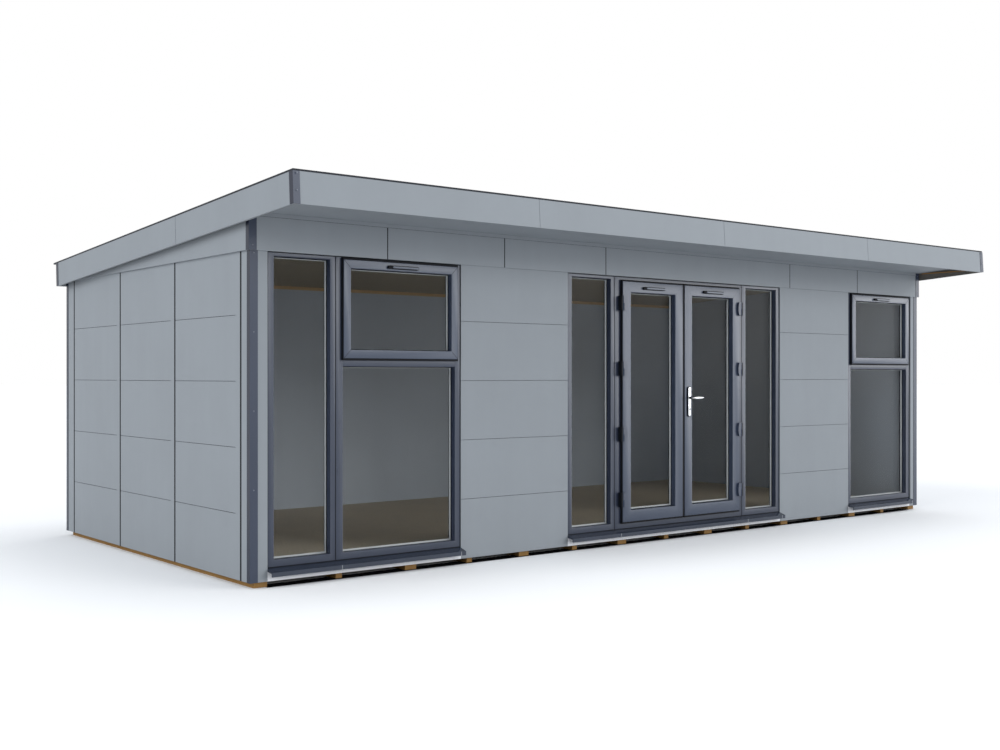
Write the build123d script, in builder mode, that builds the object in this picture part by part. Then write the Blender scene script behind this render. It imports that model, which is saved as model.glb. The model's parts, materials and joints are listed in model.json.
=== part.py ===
"""Garden office pod: insulated panel walls, a mono-pitch roof with a deep front overhang, glazed units and French doors.

Millimetres. +X runs along the front from left to right as it is faced, +Y goes from front to back and +Z is up.
The origin is on the ground, at the middle of the pod's bounding box in plan.
"""

import os
from math import atan, cos, sin, tan

from build123d import *

# ---- Driving dimensions -------------------------------------------------------------------------

# Plan of the walls
wall_thickness = 120
wall_panel_width = 1000
sidelight_width = 500
vent_unit_width = 1000
door_width = 1500
building_depth = 3300

# Heights above the ground
bearer_height = 38
wall_height = 2060
base_rail_height = 60
floor_thickness = 50

# Panel joints
joint_width = 12
joint_depth = 6
front_strip_width = 125
course_height = 416
course_groove_width = 4
course_groove_depth = 2
course_stop = 72

# Roof, which falls to the back
roof_fall_per_metre = 60
rear_wall_rise = 20
rear_plate_height = 23
front_overhang = 660
side_overhang = 65
rear_overhang = 65
fascia_depth = 202
fascia_thickness = 20
roof_trim_height = 12
roof_trim_width = 45
drip_reach = 72
roof_panel_thickness = 115
soffit_thickness = 6

# Bands over the walls
band_projection = 15
soffit_trim_height = 25
soffit_trim_thickness = 4

# Corner trims
wall_trim_front_leg = 55
wall_trim_side_leg = 40
fascia_trim_leg = 45
trim_thickness = 3

# Joints in the bands and the fascias, with a gap beside the right-hand unit
band_joint_width = 8
band_joint_depth = 4
band_panel_length = 1000
fascia_joint_width = 4
fascia_joint_depth = 2
front_fascia_panels = 4
side_fascia_front_length = 1635
end_gap_width = 17
end_gap_depth = 25

# Bearers
bearer_width = 46
pair_width = 92
bearer_setback = 30
bearer_end_inset = 25
bearer_offset = 15
first_pair = 1200

# Window and door frames
frame_recess = 7
frame_thickness = 70
jamb_width = 48
head_width = 26
frame_bottom_width = 70
coupling_shift = 8
transom_height = 60
transom_bottom = 1343
glass_thickness = 24
glass_recess = 43

# Vent sashes, which stand proud of their frames
sash_projection = 25
sash_side_reveal = 40
sash_top_reveal = 20
sash_overlap = 6
sash_stile_width = 54
sash_rail_width = 55
sash_glass_recess = 40
bead_depth = 5
sash_clearance = 4

# French doors
door_side_reveal = 60
door_top_reveal = 40
door_bottom_reveal = 78
door_frame_lap = 8
leaf_gap = 24
leaf_stile_width = 87
leaf_top_rail_width = 82
leaf_bottom_rail_width = 88
leaf_rebate = 15
leaf_clearance = 5
leaf_glass_recess = 46
meeting_strip_width = 15
meeting_strip_depth = 19

# Hinges
hinge_count = 4
hinge_bottom_rise = 176
hinge_top_drop = 170
hinge_length = 112
hinge_radius = 7
hinge_pin_radius = 3
hinge_pin_clearance = 0.1
hinge_offset_x = 7
hinge_offset_y = 13
hinge_web = 5
hinge_flag_start = 8
hinge_flag_end = 40
hinge_flag_bow = 12
hinge_flag_thickness = 17
hinge_bracket_start = 9
hinge_bracket_end = 19
hinge_bracket_projection = 2
hinge_knuckle_gap = 1
hinge_pin_cover = 4

# Handle
lever_height = 1140
handle_plate_height = 246
handle_plate_width = 36
handle_plate_thickness = 15
lever_above_plate_centre = 32
lever_length = 132
lever_reach = 52
lever_radius = 9
lever_hub_radius = 11
lever_hub_clearance = 0.3

# Sills
sill_reach = 60
sill_top_rise = 21
sill_lip_height = 28
sill_lip_thickness = 6

# Trickle vents on the sashes and the door leaves
vent_length = 250
vent_height = 26
vent_depth = 18
vent_drop = 5

# Small clearances
seat = 0.3

# ---- Derived places -------------------------------------------------------------------------------

panel_base = bearer_height
wall_top = panel_base + wall_height
frame_base = panel_base + base_rail_height
floor_top = panel_base + floor_thickness

left_unit_width = sidelight_width + vent_unit_width
door_unit_width = 2 * sidelight_width + door_width
right_unit_width = vent_unit_width
building_length = (
    2 * wall_thickness + left_unit_width + door_unit_width + right_unit_width + 2 * wall_panel_width
)
left_face = -building_length / 2
right_face = building_length / 2

slope = atan(roof_fall_per_metre / 1000)
roof_body = roof_trim_height + roof_panel_thickness + seat
rear_wall_top = wall_top + rear_wall_rise
roof_rear_height = rear_wall_top + rear_plate_height + roof_body / cos(slope)
roof_front_height = roof_rear_height + (building_depth + front_overhang) * tan(slope)
lean = fascia_depth * sin(slope)
roof_front_reach = front_overhang + lean + trim_thickness
roof_rear_reach = rear_overhang + drip_reach * cos(slope)
front_face = (roof_front_reach - building_depth - roof_rear_reach) / 2
rear_face = front_face + building_depth
front_inner = front_face + wall_thickness
rear_inner = rear_face - wall_thickness

left_unit_left = left_face + wall_thickness
left_unit_right = left_unit_left + left_unit_width
door_unit_left = left_unit_right + wall_panel_width
door_unit_right = door_unit_left + door_unit_width
right_unit_left = door_unit_right + wall_panel_width
right_unit_right = right_unit_left + right_unit_width

roof_length = building_length + 2 * side_overhang
roof_run = (front_overhang + building_depth + rear_overhang) / cos(slope)
roof_front_edge = front_face - front_overhang
roof_plane = Plane(
    origin=(0, roof_front_edge, roof_front_height),
    x_dir=(1, 0, 0),
    z_dir=(0, sin(slope), cos(slope)),
)
roof_panel_bottom = -roof_trim_height - roof_panel_thickness


def roof_height(y, drop):
    """Height above the ground, at y, of the plane that lies a distance drop under the roof's top plane."""
    return roof_front_height - (y - roof_front_edge) * tan(slope) - drop / cos(slope)


def roof_underside(y):
    """Height of the walls' upper bands at y, a seat below the roof panel."""
    return roof_height(y, -roof_panel_bottom + seat)


def block(x, y, z, base_plane=Plane.XY, mode=Mode.ADD):
    """Adds a block that spans the three (low, high) pairs to the part being built, or cuts it away."""
    with BuildSketch(base_plane.offset(z[0])) as footprint:
        with Locations(((x[0] + x[1]) / 2, (y[0] + y[1]) / 2)):
            Rectangle(x[1] - x[0], y[1] - y[0])
    extrude(footprint.sketch, amount=z[1] - z[0], mode=mode)


def roof_block(x, y, z, mode=Mode.ADD):
    """Adds or cuts a block in the roof's own plane: y down the slope from the front edge, z up from its top."""
    block(x, y, z, roof_plane, mode)


def upright_plane(y):
    """A plane that faces the front, with X to the right and Y up, at the given depth."""
    return Plane(origin=(0, y, 0), x_dir=(1, 0, 0), z_dir=(0, -1, 0))


def mitred_ring(x, y, z, widths):
    """Adds four mitred bars round an opening, a seat apart: x, y and z are (low, high) pairs of the ring's outside.

    widths holds the bars' faces: left, right, bottom and top.
    """
    left, right, bottom, top = widths
    outer = [(x[0], z[0]), (x[1], z[0]), (x[1], z[1]), (x[0], z[1])]
    inner = [(x[0] + left, z[0] + bottom), (x[1] - right, z[0] + bottom)]
    inner += [(x[1] - right, z[1] - top), (x[0] + left, z[1] - top)]
    gap = seat
    shifts = [((gap, 0), (-gap, 0)), ((0, gap), (0, -gap)), ((-gap, 0), (gap, 0)), ((0, -gap), (0, gap))]
    for side in range(4):
        following = (side + 1) % 4
        first, second = shifts[side]
        corners = [
            (outer[side][0] + first[0], outer[side][1] + first[1]),
            (outer[following][0] + second[0], outer[following][1] + second[1]),
            (inner[following][0] + second[0], inner[following][1] + second[1]),
            (inner[side][0] + first[0], inner[side][1] + first[1]),
        ]
        with BuildSketch(upright_plane(y[1])) as profile:
            with BuildLine():
                Polyline(*corners, close=True)
            make_face()
        extrude(profile.sketch, amount=y[1] - y[0])


os.makedirs("parts", exist_ok=True)


def save(builder, name):
    """Labels a finished piece and writes it as its own STEP file."""
    builder.part.label = name
    export_step(builder.part, f"parts/{name}.step")


# ---- Base and floor -------------------------------------------------------------------------------

bearer_front = front_face + bearer_setback
bearer_rear = rear_face - bearer_setback
bearer_span = (bearer_front, bearer_rear)
bearer_zero = left_face + bearer_offset
end_pair = bearer_end_inset + pair_width / 2
pair_lines = [end_pair, first_pair]
while pair_lines[-1] + wall_panel_width < building_length - pair_width - bearer_end_inset:
    pair_lines.append(pair_lines[-1] + wall_panel_width)
pair_lines.append(building_length - end_pair)

with BuildPart() as floor_bearers:
    for line in pair_lines:
        pair = bearer_zero + line
        block((pair - pair_width / 2, pair + pair_width / 2), bearer_span, (0, bearer_height))
    for line, following in zip(pair_lines, pair_lines[1:]):
        single = bearer_zero + (line + following) / 2
        block((single - bearer_width / 2, single + bearer_width / 2), bearer_span, (0, bearer_height))
save(floor_bearers, "floor_bearers")

with BuildPart() as floor_panel:
    block(
        (left_face + wall_thickness, right_face - wall_thickness),
        (front_inner, rear_inner),
        (panel_base, floor_top),
    )
save(floor_panel, "floor_panel")

with BuildPart() as base_rails:
    for low, high in (
        (left_unit_left, left_unit_right),
        (door_unit_left, door_unit_right),
        (right_unit_left, right_unit_right),
    ):
        block((low, high), (front_face, front_inner), (panel_base, frame_base))
save(base_rails, "base_rails")

# ---- Walls ----------------------------------------------------------------------------------------

course_levels = [panel_base + course_height * number for number in range(1, 5)]
side_joints = [front_face + front_strip_width + number * wall_panel_width for number in range(4)]


def side_wall(side):
    """One side wall, with upright joints between its panels and a groove at each course."""
    face = side * building_length / 2
    inner = face - side * wall_thickness
    groove_floor = face - side * joint_depth
    course_floor = face - side * course_groove_depth
    with BuildPart() as wall:
        block(sorted((face, inner)), (front_face, rear_face), (panel_base, wall_top))
        for joint in side_joints:
            block(
                sorted((face, groove_floor)),
                (joint - joint_width / 2, joint + joint_width / 2),
                (panel_base, wall_top),
                mode=Mode.SUBTRACT,
            )
        for joint, following in zip(side_joints, side_joints[1:]):
            for level in course_levels:
                block(
                    sorted((face, course_floor)),
                    (joint + course_stop, following),
                    (level - course_groove_width / 2, level + course_groove_width / 2),
                    mode=Mode.SUBTRACT,
                )
    return wall


left_wall = side_wall(-1)
save(left_wall, "left_wall")
with side_wall(1) as right_wall:
    block(
        (right_unit_right, right_unit_right + end_gap_width),
        (front_face, front_face + end_gap_depth),
        (frame_base, wall_top),
        mode=Mode.SUBTRACT,
    )
save(right_wall, "right_wall")

rear_left = left_face + wall_thickness
rear_panels = round(-2 * rear_left / wall_panel_width)
rear_joints = [rear_left + number * wall_panel_width for number in range(rear_panels + 1)]
with BuildPart() as rear_wall:
    block((rear_left, -rear_left), (rear_inner, rear_face), (panel_base, rear_wall_top))
    for joint in rear_joints[1:-1]:
        block(
            (joint - joint_width / 2, joint + joint_width / 2),
            (rear_face - joint_depth, rear_face),
            (panel_base, rear_wall_top),
            mode=Mode.SUBTRACT,
        )
    for joint in rear_joints[:-1]:
        for level in course_levels:
            block(
                (joint, joint + wall_panel_width - course_stop),
                (rear_face - course_groove_depth, rear_face),
                (level - course_groove_width / 2, level + course_groove_width / 2),
                mode=Mode.SUBTRACT,
            )
save(rear_wall, "rear_wall")

for name, low in (("front_wall_left", left_unit_right), ("front_wall_right", door_unit_right)):
    with BuildPart() as front_wall:
        block((low, low + wall_panel_width), (front_face, front_inner), (panel_base, wall_top))
        for level in course_levels:
            block(
                (low, low + wall_panel_width),
                (front_face, front_face + course_groove_depth),
                (level - course_groove_width / 2, level + course_groove_width / 2),
                mode=Mode.SUBTRACT,
            )
    save(front_wall, name)

band_face = front_face - band_projection
band_joints = [left_face + band_panel_length * number for number in (1, 2, 3)]
band_joints += [right_face - band_panel_length * number for number in (2, 1)]
with BuildPart() as front_header:
    with BuildSketch(Plane.YZ.offset(left_face - band_projection)):
        with BuildLine():
            Polyline(
                (band_face, wall_top),
                (front_inner, wall_top),
                (front_inner, roof_underside(front_inner)),
                (band_face, roof_underside(band_face)),
                close=True,
            )
        make_face()
    extrude(amount=building_length + 2 * band_projection)
    for joint in band_joints:
        block(
            (joint - band_joint_width / 2, joint + band_joint_width / 2),
            (band_face, band_face + band_joint_depth),
            (wall_top, roof_underside(band_face) + seat),
            mode=Mode.SUBTRACT,
        )
save(front_header, "front_header")

for name, side in (("left_gable", -1), ("right_gable", 1)):
    outer = side * (building_length / 2 + band_projection)
    inner = side * (building_length / 2 - wall_thickness)
    with BuildPart() as gable:
        with BuildSketch(Plane.YZ.offset(min(outer, inner))):
            with BuildLine():
                Polyline(
                    (front_inner, wall_top),
                    (rear_face, wall_top),
                    (rear_face, roof_underside(rear_face)),
                    (front_inner, roof_underside(front_inner)),
                    close=True,
                )
            make_face()
        extrude(amount=abs(outer - inner))
    save(gable, name)

with BuildPart() as rear_wall_plate:
    with BuildSketch(Plane.YZ.offset(rear_left)):
        with BuildLine():
            Polyline(
                (rear_inner, rear_wall_top),
                (rear_face, rear_wall_top),
                (rear_face, roof_underside(rear_face)),
                (rear_inner, roof_underside(rear_inner)),
                close=True,
            )
        make_face()
    extrude(amount=-2 * rear_left)
save(rear_wall_plate, "rear_wall_plate")

# ---- Roof -----------------------------------------------------------------------------------------

half_roof = roof_length / 2
panel_half = half_roof - fascia_thickness

with BuildPart() as roof_panel:
    roof_block(
        (-panel_half, panel_half),
        (fascia_thickness, roof_run - fascia_thickness),
        (roof_panel_bottom, -roof_trim_height),
    )
save(roof_panel, "roof_panel")

with BuildPart() as roof_edge_trim:
    trim_inner = half_roof - roof_trim_width
    roof_block((-half_roof, half_roof), (0, roof_trim_width), (-roof_trim_height, 0))
    roof_block(
        (-half_roof, half_roof),
        (roof_run - roof_trim_width, roof_run + drip_reach),
        (-roof_trim_height, 0),
    )
    for side in (-1, 1):
        roof_block(
            sorted((side * half_roof, side * trim_inner)),
            (roof_trim_width + seat, roof_run - roof_trim_width - seat),
            (-roof_trim_height, 0),
        )
save(roof_edge_trim, "roof_edge_trim")

fascia_levels = (-fascia_depth, -roof_trim_height)
fascia_panel = roof_length / front_fascia_panels
fascia_joints = [fascia_panel * number - half_roof for number in range(1, front_fascia_panels)]
half_joint = fascia_joint_width / 2

for name, start, outer, joint_floor in (
    ("front_fascia", 0, 0, fascia_joint_depth),
    ("rear_fascia", roof_run - fascia_thickness, roof_run, roof_run - fascia_joint_depth),
):
    with BuildPart() as end_fascia:
        roof_block((-panel_half, panel_half), (start, start + fascia_thickness), fascia_levels)
        for joint in fascia_joints:
            groove = (joint - half_joint, joint + half_joint)
            roof_block(groove, sorted((outer, joint_floor)), fascia_levels, mode=Mode.SUBTRACT)
    save(end_fascia, name)

for name, side in (("left_fascia", -1), ("right_fascia", 1)):
    with BuildPart() as side_fascia:
        roof_block(sorted((side * panel_half, side * half_roof)), (0, roof_run), fascia_levels)
        roof_block(
            sorted((side * (half_roof - fascia_joint_depth), side * half_roof)),
            (side_fascia_front_length - half_joint, side_fascia_front_length + half_joint),
            fascia_levels,
            mode=Mode.SUBTRACT,
        )
    save(side_fascia, name)

soffit_run = (front_overhang - band_projection) / cos(slope) - roof_panel_bottom * tan(slope)
with BuildPart() as front_soffit:
    roof_block(
        (-panel_half + seat, panel_half - seat),
        (fascia_thickness + seat, soffit_run - seat),
        (roof_panel_bottom - soffit_thickness, roof_panel_bottom),
    )
save(front_soffit, "front_soffit")

with BuildPart() as soffit_trim:
    trim_top = roof_height(band_face, -roof_panel_bottom + soffit_thickness) - seat
    block(
        (left_face - band_projection + wall_trim_front_leg, right_face + band_projection - wall_trim_front_leg),
        (band_face - soffit_trim_thickness, band_face),
        (trim_top - soffit_trim_height, trim_top),
    )
save(soffit_trim, "soffit_trim")

# ---- Corner trims ---------------------------------------------------------------------------------


def angle_corners(corner_x, corner_y, side_x, side_y, leg_x, leg_y):
    """The corners of an L profile that wraps an outside corner; side_x and side_y point outwards."""
    outer_x = corner_x + side_x * trim_thickness
    outer_y = corner_y + side_y * trim_thickness
    end_x = corner_x - side_x * (leg_x - trim_thickness)
    end_y = corner_y - side_y * (leg_y - trim_thickness)
    return (
        (outer_x, outer_y),
        (end_x, outer_y),
        (end_x, corner_y),
        (corner_x, corner_y),
        (corner_x, end_y),
        (outer_x, end_y),
    )


wall_legs = (wall_trim_front_leg, wall_trim_side_leg)
fascia_legs = (fascia_trim_leg, fascia_trim_leg)

with BuildPart() as wall_corner_trims:
    for side_x in (-1, 1):
        for corner_y, side_y in ((front_face, -1), (rear_face, 1)):
            corner_x = side_x * building_length / 2
            with BuildSketch(Plane.XY.offset(panel_base)):
                with BuildLine():
                    Polyline(*angle_corners(corner_x, corner_y, side_x, side_y, *wall_legs), close=True)
                make_face()
            extrude(amount=wall_height - seat)
save(wall_corner_trims, "wall_corner_trims")

with BuildPart() as header_corner_trims:
    header_trim_top = roof_underside(front_face + wall_trim_side_leg) - soffit_thickness
    for side_x in (-1, 1):
        band_end = side_x * (building_length / 2 + band_projection)
        with BuildSketch(Plane.XY.offset(wall_top)):
            with BuildLine():
                Polyline(*angle_corners(band_end, band_face, side_x, -1, *wall_legs), close=True)
            make_face()
        extrude(amount=header_trim_top - wall_top)
save(header_corner_trims, "header_corner_trims")

with BuildPart() as fascia_corner_trims:
    for side_x in (-1, 1):
        for corner_y, side_y in ((0, -1), (roof_run, 1)):
            corner_x = side_x * half_roof
            with BuildSketch(roof_plane.offset(-fascia_depth)):
                with BuildLine():
                    Polyline(*angle_corners(corner_x, corner_y, side_x, side_y, *fascia_legs), close=True)
                make_face()
            extrude(amount=fascia_depth - roof_trim_height)
save(fascia_corner_trims, "fascia_corner_trims")

# ---- Window and door frames -----------------------------------------------------------------------

frame_front = front_face + frame_recess
frame_rear = frame_front + frame_thickness
frame_depth = (frame_front, frame_rear)
pane_front = frame_front + glass_recess
pane_depth = (pane_front, pane_front + glass_thickness)
sash_front = frame_front - sash_projection
transom_base = panel_base + transom_bottom
transom_top = transom_base + transom_height
head_base = wall_top - head_width


def frame_bars(low, high, coupled, sides):
    """One frame's four bars on a module from low to high along the front.

    coupled says whether its left and its right jamb meet another frame: those jambs meet off the module line.
    """
    left, right, bottom, top = sides
    left_shift = coupling_shift if coupled[0] else 0
    right_shift = coupling_shift + seat if coupled[1] else 0
    widths = (left + left_shift, right - right_shift, bottom, top)
    mitred_ring((low - left_shift, high - right_shift), frame_depth, (frame_base, wall_top), widths)


def fixed_light(low, high, coupled=(False, False)):
    """A frame with one fixed pane's opening, on a module from low to high along the front."""
    frame_bars(low, high, coupled, (jamb_width, jamb_width, frame_bottom_width, head_width))


def vent_light(low, high, coupled=(False, False)):
    """A frame with a transom: an opening for a vent sash over one for a fixed pane."""
    fixed_light(low, high, coupled)
    block((low + jamb_width + seat, high - jamb_width - seat), frame_depth, (transom_base, transom_top))


def pane(x, y, z):
    """A glass unit a seat inside the opening that spans the (low, high) pairs."""
    block((x[0] + seat, x[1] - seat), y, (z[0] + seat, z[1] - seat))


def fixed_pane(low, high, top):
    """The pane of a fixed light whose frame runs from low to high, up to the given height."""
    pane((low + jamb_width, high - jamb_width), pane_depth, (frame_base + frame_bottom_width, top))


def sash_span(low, high):
    """The outside of a vent sash: its (low, high) pairs along X and Z in a frame from low to high."""
    return (
        (low + sash_side_reveal, high - sash_side_reveal),
        (transom_top - sash_overlap, wall_top - sash_top_reveal),
    )


def vent_sash(low, high):
    """A top-hung sash: a flange in front of its frame and a body inside the frame's opening."""
    x, z = sash_span(low, high)
    mitred_ring(
        x,
        (sash_front, frame_front - seat),
        z,
        (sash_stile_width, sash_stile_width, sash_rail_width, sash_rail_width),
    )
    body_x = (low + jamb_width + sash_clearance, high - jamb_width - sash_clearance)
    body_z = (transom_top + sash_clearance, head_base - sash_clearance)
    mitred_ring(
        body_x,
        (frame_front, sash_front + sash_glass_recess + glass_thickness + bead_depth),
        body_z,
        (
            x[0] + sash_stile_width - body_x[0],
            body_x[1] - x[1] + sash_stile_width,
            z[0] + sash_rail_width - body_z[0],
            body_z[1] - z[1] + sash_rail_width,
        ),
    )


def vent_pane(low, high):
    """The pane of the vent sash in a frame from low to high."""
    x, z = sash_span(low, high)
    front = sash_front + sash_glass_recess
    pane(
        (x[0] + sash_stile_width, x[1] - sash_stile_width),
        (front, front + glass_thickness),
        (z[0] + sash_rail_width, z[1] - sash_rail_width),
    )


left_vent = (left_unit_left + sidelight_width, left_unit_right)
right_vent = (right_unit_left, right_unit_right)

with BuildPart() as left_unit_frame:
    fixed_light(left_unit_left, left_vent[0], coupled=(False, True))
    vent_light(*left_vent, coupled=(True, False))
save(left_unit_frame, "left_unit_frame")

with BuildPart() as right_unit_frame:
    vent_light(*right_vent)
save(right_unit_frame, "right_unit_frame")

for name, span in (("left_vent_sash", left_vent), ("right_vent_sash", right_vent)):
    with BuildPart() as sash:
        vent_sash(*span)
    save(sash, name)


def trickle_vent(x, top, rail_width):
    """A round-ended cover on the top rail of the sash or leaf that spans x and ends at the height top."""
    centre = top - rail_width / 2 - vent_drop
    with BuildSketch(upright_plane(sash_front)) as cover:
        with Locations(((x[0] + x[1]) / 2, centre)):
            SlotOverall(vent_length, vent_height)
    extrude(cover.sketch, amount=vent_depth)


with BuildPart() as sash_trickle_vents:
    for span in (left_vent, right_vent):
        sash_x, sash_z = sash_span(*span)
        trickle_vent(sash_x, sash_z[1], sash_rail_width)
save(sash_trickle_vents, "sash_trickle_vents")

with BuildPart() as left_unit_glass:
    fixed_pane(left_unit_left, left_vent[0], head_base)
    fixed_pane(*left_vent, transom_base)
    vent_pane(*left_vent)
save(left_unit_glass, "left_unit_glass")

with BuildPart() as right_unit_glass:
    fixed_pane(*right_vent, transom_base)
    vent_pane(*right_vent)
save(right_unit_glass, "right_unit_glass")

door_left = door_unit_left + sidelight_width
door_right = door_left + door_width
door_reveals = (door_side_reveal, door_side_reveal, door_bottom_reveal, door_top_reveal)
with BuildPart() as door_unit_frame:
    fixed_light(door_unit_left, door_left, coupled=(False, True))
    fixed_light(door_right, door_unit_right, coupled=(True, False))
    frame_bars(door_left, door_right, (True, True), [reveal + door_frame_lap for reveal in door_reveals])
save(door_unit_frame, "door_unit_frame")

with BuildPart() as sidelight_glass:
    fixed_pane(door_unit_left, door_left, head_base)
    fixed_pane(door_right, door_unit_right, head_base)
save(sidelight_glass, "sidelight_glass")

with BuildPart() as sills:
    sill_top = frame_base + sill_top_rise
    lip = front_face - sill_reach
    for low, high in (
        (left_unit_left, left_unit_right),
        (door_unit_left, door_unit_right),
        (right_unit_left, right_unit_right),
    ):
        with BuildSketch(Plane.YZ.offset(low)):
            with BuildLine():
                Polyline(
                    (frame_front, frame_base),
                    (frame_front, sill_top),
                    (lip, frame_base),
                    (lip, frame_base - sill_lip_height),
                    (lip + sill_lip_thickness, frame_base - sill_lip_height),
                    (lip + sill_lip_thickness, frame_base - sill_lip_thickness),
                    (front_face, frame_base),
                    close=True,
                )
            make_face()
        extrude(amount=high - low)
save(sills, "sills")

# ---- French doors ---------------------------------------------------------------------------------

leaf_low = frame_base + door_bottom_reveal
leaf_high = wall_top - door_top_reveal
leaf_width = (door_width - 2 * door_side_reveal - leaf_gap) / 2
leaf_front = sash_front
leaf_flange_rear = frame_front - leaf_clearance
leaf_rear = leaf_front + leaf_glass_recess + glass_thickness + bead_depth
leaf_widths = (leaf_stile_width, leaf_stile_width, leaf_bottom_rail_width, leaf_top_rail_width)
left_leaf_span = (door_left + door_side_reveal, door_left + door_side_reveal + leaf_width)
right_leaf_span = (door_right - door_side_reveal - leaf_width, door_right - door_side_reveal)


def leaf_frame(span):
    """A door leaf's stiles and rails: a flange in front of the frame and a body inside it."""
    mitred_ring(span, (leaf_front, leaf_flange_rear - seat), (leaf_low, leaf_high), leaf_widths)
    mitred_ring(
        (span[0] + leaf_rebate, span[1] - leaf_rebate),
        (leaf_flange_rear, leaf_rear),
        (leaf_low + leaf_rebate, leaf_high - leaf_rebate),
        [width - leaf_rebate for width in leaf_widths],
    )


def leaf_pane(span):
    """A door leaf's glass unit."""
    front = leaf_front + leaf_glass_recess
    pane(
        (span[0] + leaf_stile_width, span[1] - leaf_stile_width),
        (front, front + glass_thickness),
        (leaf_low + leaf_bottom_rail_width, leaf_high - leaf_top_rail_width),
    )


with BuildPart() as left_leaf_frame:
    leaf_frame(left_leaf_span)
    block(
        (left_leaf_span[1] + seat, left_leaf_span[1] + meeting_strip_width),
        (leaf_flange_rear - meeting_strip_depth, leaf_flange_rear),
        (leaf_low, leaf_high),
    )
save(left_leaf_frame, "left_leaf_frame")

with BuildPart() as right_leaf_frame:
    leaf_frame(right_leaf_span)
save(right_leaf_frame, "right_leaf_frame")

for name, span in (("left_leaf", left_leaf_span), ("right_leaf", right_leaf_span)):
    with BuildPart() as leaf_glass:
        leaf_pane(span)
    save(leaf_glass, f"{name}_glass")
    with BuildPart() as leaf_vent:
        trickle_vent(span, leaf_high, leaf_top_rail_width)
    save(leaf_vent, f"{name}_trickle_vent")

# ---- Hinges ---------------------------------------------------------------------------------------

hinge_y = leaf_front - hinge_offset_y
left_hinge_x = left_leaf_span[0] - hinge_offset_x
right_hinge_x = right_leaf_span[1] + hinge_offset_x
knuckle_length = (hinge_length - hinge_knuckle_gap) / 2
lowest_hinge = leaf_low + hinge_bottom_rise
hinge_pitch = (leaf_high - hinge_top_drop - lowest_hinge) / (hinge_count - 1)
hinge_heights = [lowest_hinge + number * hinge_pitch for number in range(hinge_count)]


def knuckle_sketch(x, base, web_end, web):
    """One knuckle's outline with a web that joins it to its own half of the hinge, on a plane at height base."""
    with BuildSketch(Plane.XY.offset(base)) as knuckle:
        with Locations((x, hinge_y)):
            Circle(hinge_radius)
        with Locations(((x + web_end) / 2, hinge_y + (web[0] + web[1]) / 2)):
            Rectangle(abs(web_end - x), web[1] - web[0])
    return knuckle.sketch


def frame_hinge_half(x, side, level):
    """The lower knuckle with its pin, and the bracket on the frame's face; side points from leaf to jamb."""
    base = level - hinge_length / 2
    near = x + side * hinge_bracket_start
    far = x + side * hinge_bracket_end
    bracket_front = hinge_y - hinge_bracket_projection
    block(sorted((near, far)), (bracket_front, frame_front), (base, base + hinge_length))
    extrude(knuckle_sketch(x, base, near, (-hinge_bracket_projection, hinge_web)), amount=knuckle_length)
    with BuildSketch(Plane.XY.offset(base)) as pin:
        with Locations((x, hinge_y)):
            Circle(hinge_pin_radius)
    extrude(pin.sketch, amount=hinge_length - hinge_pin_cover)


def leaf_hinge_half(x, side, level):
    """The upper knuckle, bored for the pin, and the bowed flag on the leaf's face."""
    bottom = level - hinge_length / 2
    top = bottom + hinge_length
    near = x - side * hinge_flag_start
    far = x - side * hinge_flag_end
    shoulder = far + side * hinge_flag_bow
    with BuildSketch(upright_plane(leaf_front - seat)) as flag:
        with BuildLine():
            Polyline((shoulder, bottom), (near, bottom), (near, top), (shoulder, top))
            ThreePointArc((shoulder, top), (far, level), (shoulder, bottom))
        make_face()
    extrude(flag.sketch, amount=hinge_flag_thickness - seat)
    base = bottom + knuckle_length + hinge_knuckle_gap
    flag_front = leaf_front - hinge_flag_thickness - hinge_y
    extrude(knuckle_sketch(x, base, near, (flag_front, hinge_web)), amount=knuckle_length)
    with BuildSketch(Plane.XY.offset(base)) as bore:
        with Locations((x, hinge_y)):
            Circle(hinge_pin_radius + hinge_pin_clearance)
    bore_length = knuckle_length - hinge_pin_cover + hinge_knuckle_gap
    extrude(bore.sketch, amount=bore_length, mode=Mode.SUBTRACT)


with BuildPart() as frame_hinges:
    for level in hinge_heights:
        frame_hinge_half(left_hinge_x, -1, level)
        frame_hinge_half(right_hinge_x, 1, level)
save(frame_hinges, "frame_hinges")

for name, x, side in (
    ("left_leaf_hinges", left_hinge_x, -1),
    ("right_leaf_hinges", right_hinge_x, 1),
):
    with BuildPart() as leaf_hinges:
        for level in hinge_heights:
            leaf_hinge_half(x, side, level)
    save(leaf_hinges, name)

# ---- Handle on the right leaf ---------------------------------------------------------------------

handle_x = right_leaf_span[0] + leaf_stile_width / 2
plate_centre = lever_height - lever_above_plate_centre
handle_faces = ((leaf_front, -1), (leaf_rear, 1))

with BuildPart() as handle_plates:
    for face, out in handle_faces:
        with BuildSketch(upright_plane(face)):
            with Locations((handle_x, plate_centre)):
                SlotOverall(handle_plate_height, handle_plate_width, rotation=90)
            with Locations((handle_x, lever_height)):
                Circle(lever_hub_radius + lever_hub_clearance, mode=Mode.SUBTRACT)
        extrude(amount=-out * handle_plate_thickness)
save(handle_plates, "handle_plates")

with BuildPart() as handle_lever:
    for face, out in handle_faces:
        with BuildSketch(upright_plane(face + out * seat)):
            with Locations((handle_x, lever_height)):
                Circle(lever_hub_radius)
        extrude(amount=-out * (lever_reach + lever_radius))
        with BuildSketch(Plane.YZ.offset(handle_x)):
            with Locations((face + out * lever_reach, lever_height)):
                Ellipse(lever_radius, lever_hub_radius)
        extrude(amount=lever_length)
save(handle_lever, "handle_lever")

print("origin to front wall face", front_face, "length", building_length, "roof length", roof_length)
print("hinges at", left_hinge_x, right_hinge_x, hinge_y, "lever at", handle_x, lever_height)
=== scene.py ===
"""Garden office pod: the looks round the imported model.

Laid out as an add-on and run as a script. Metres, in the part's own frame: +X along the front from left to
right, +Y from front to back, +Z up, the ground at Z = 0.
"""

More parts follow.
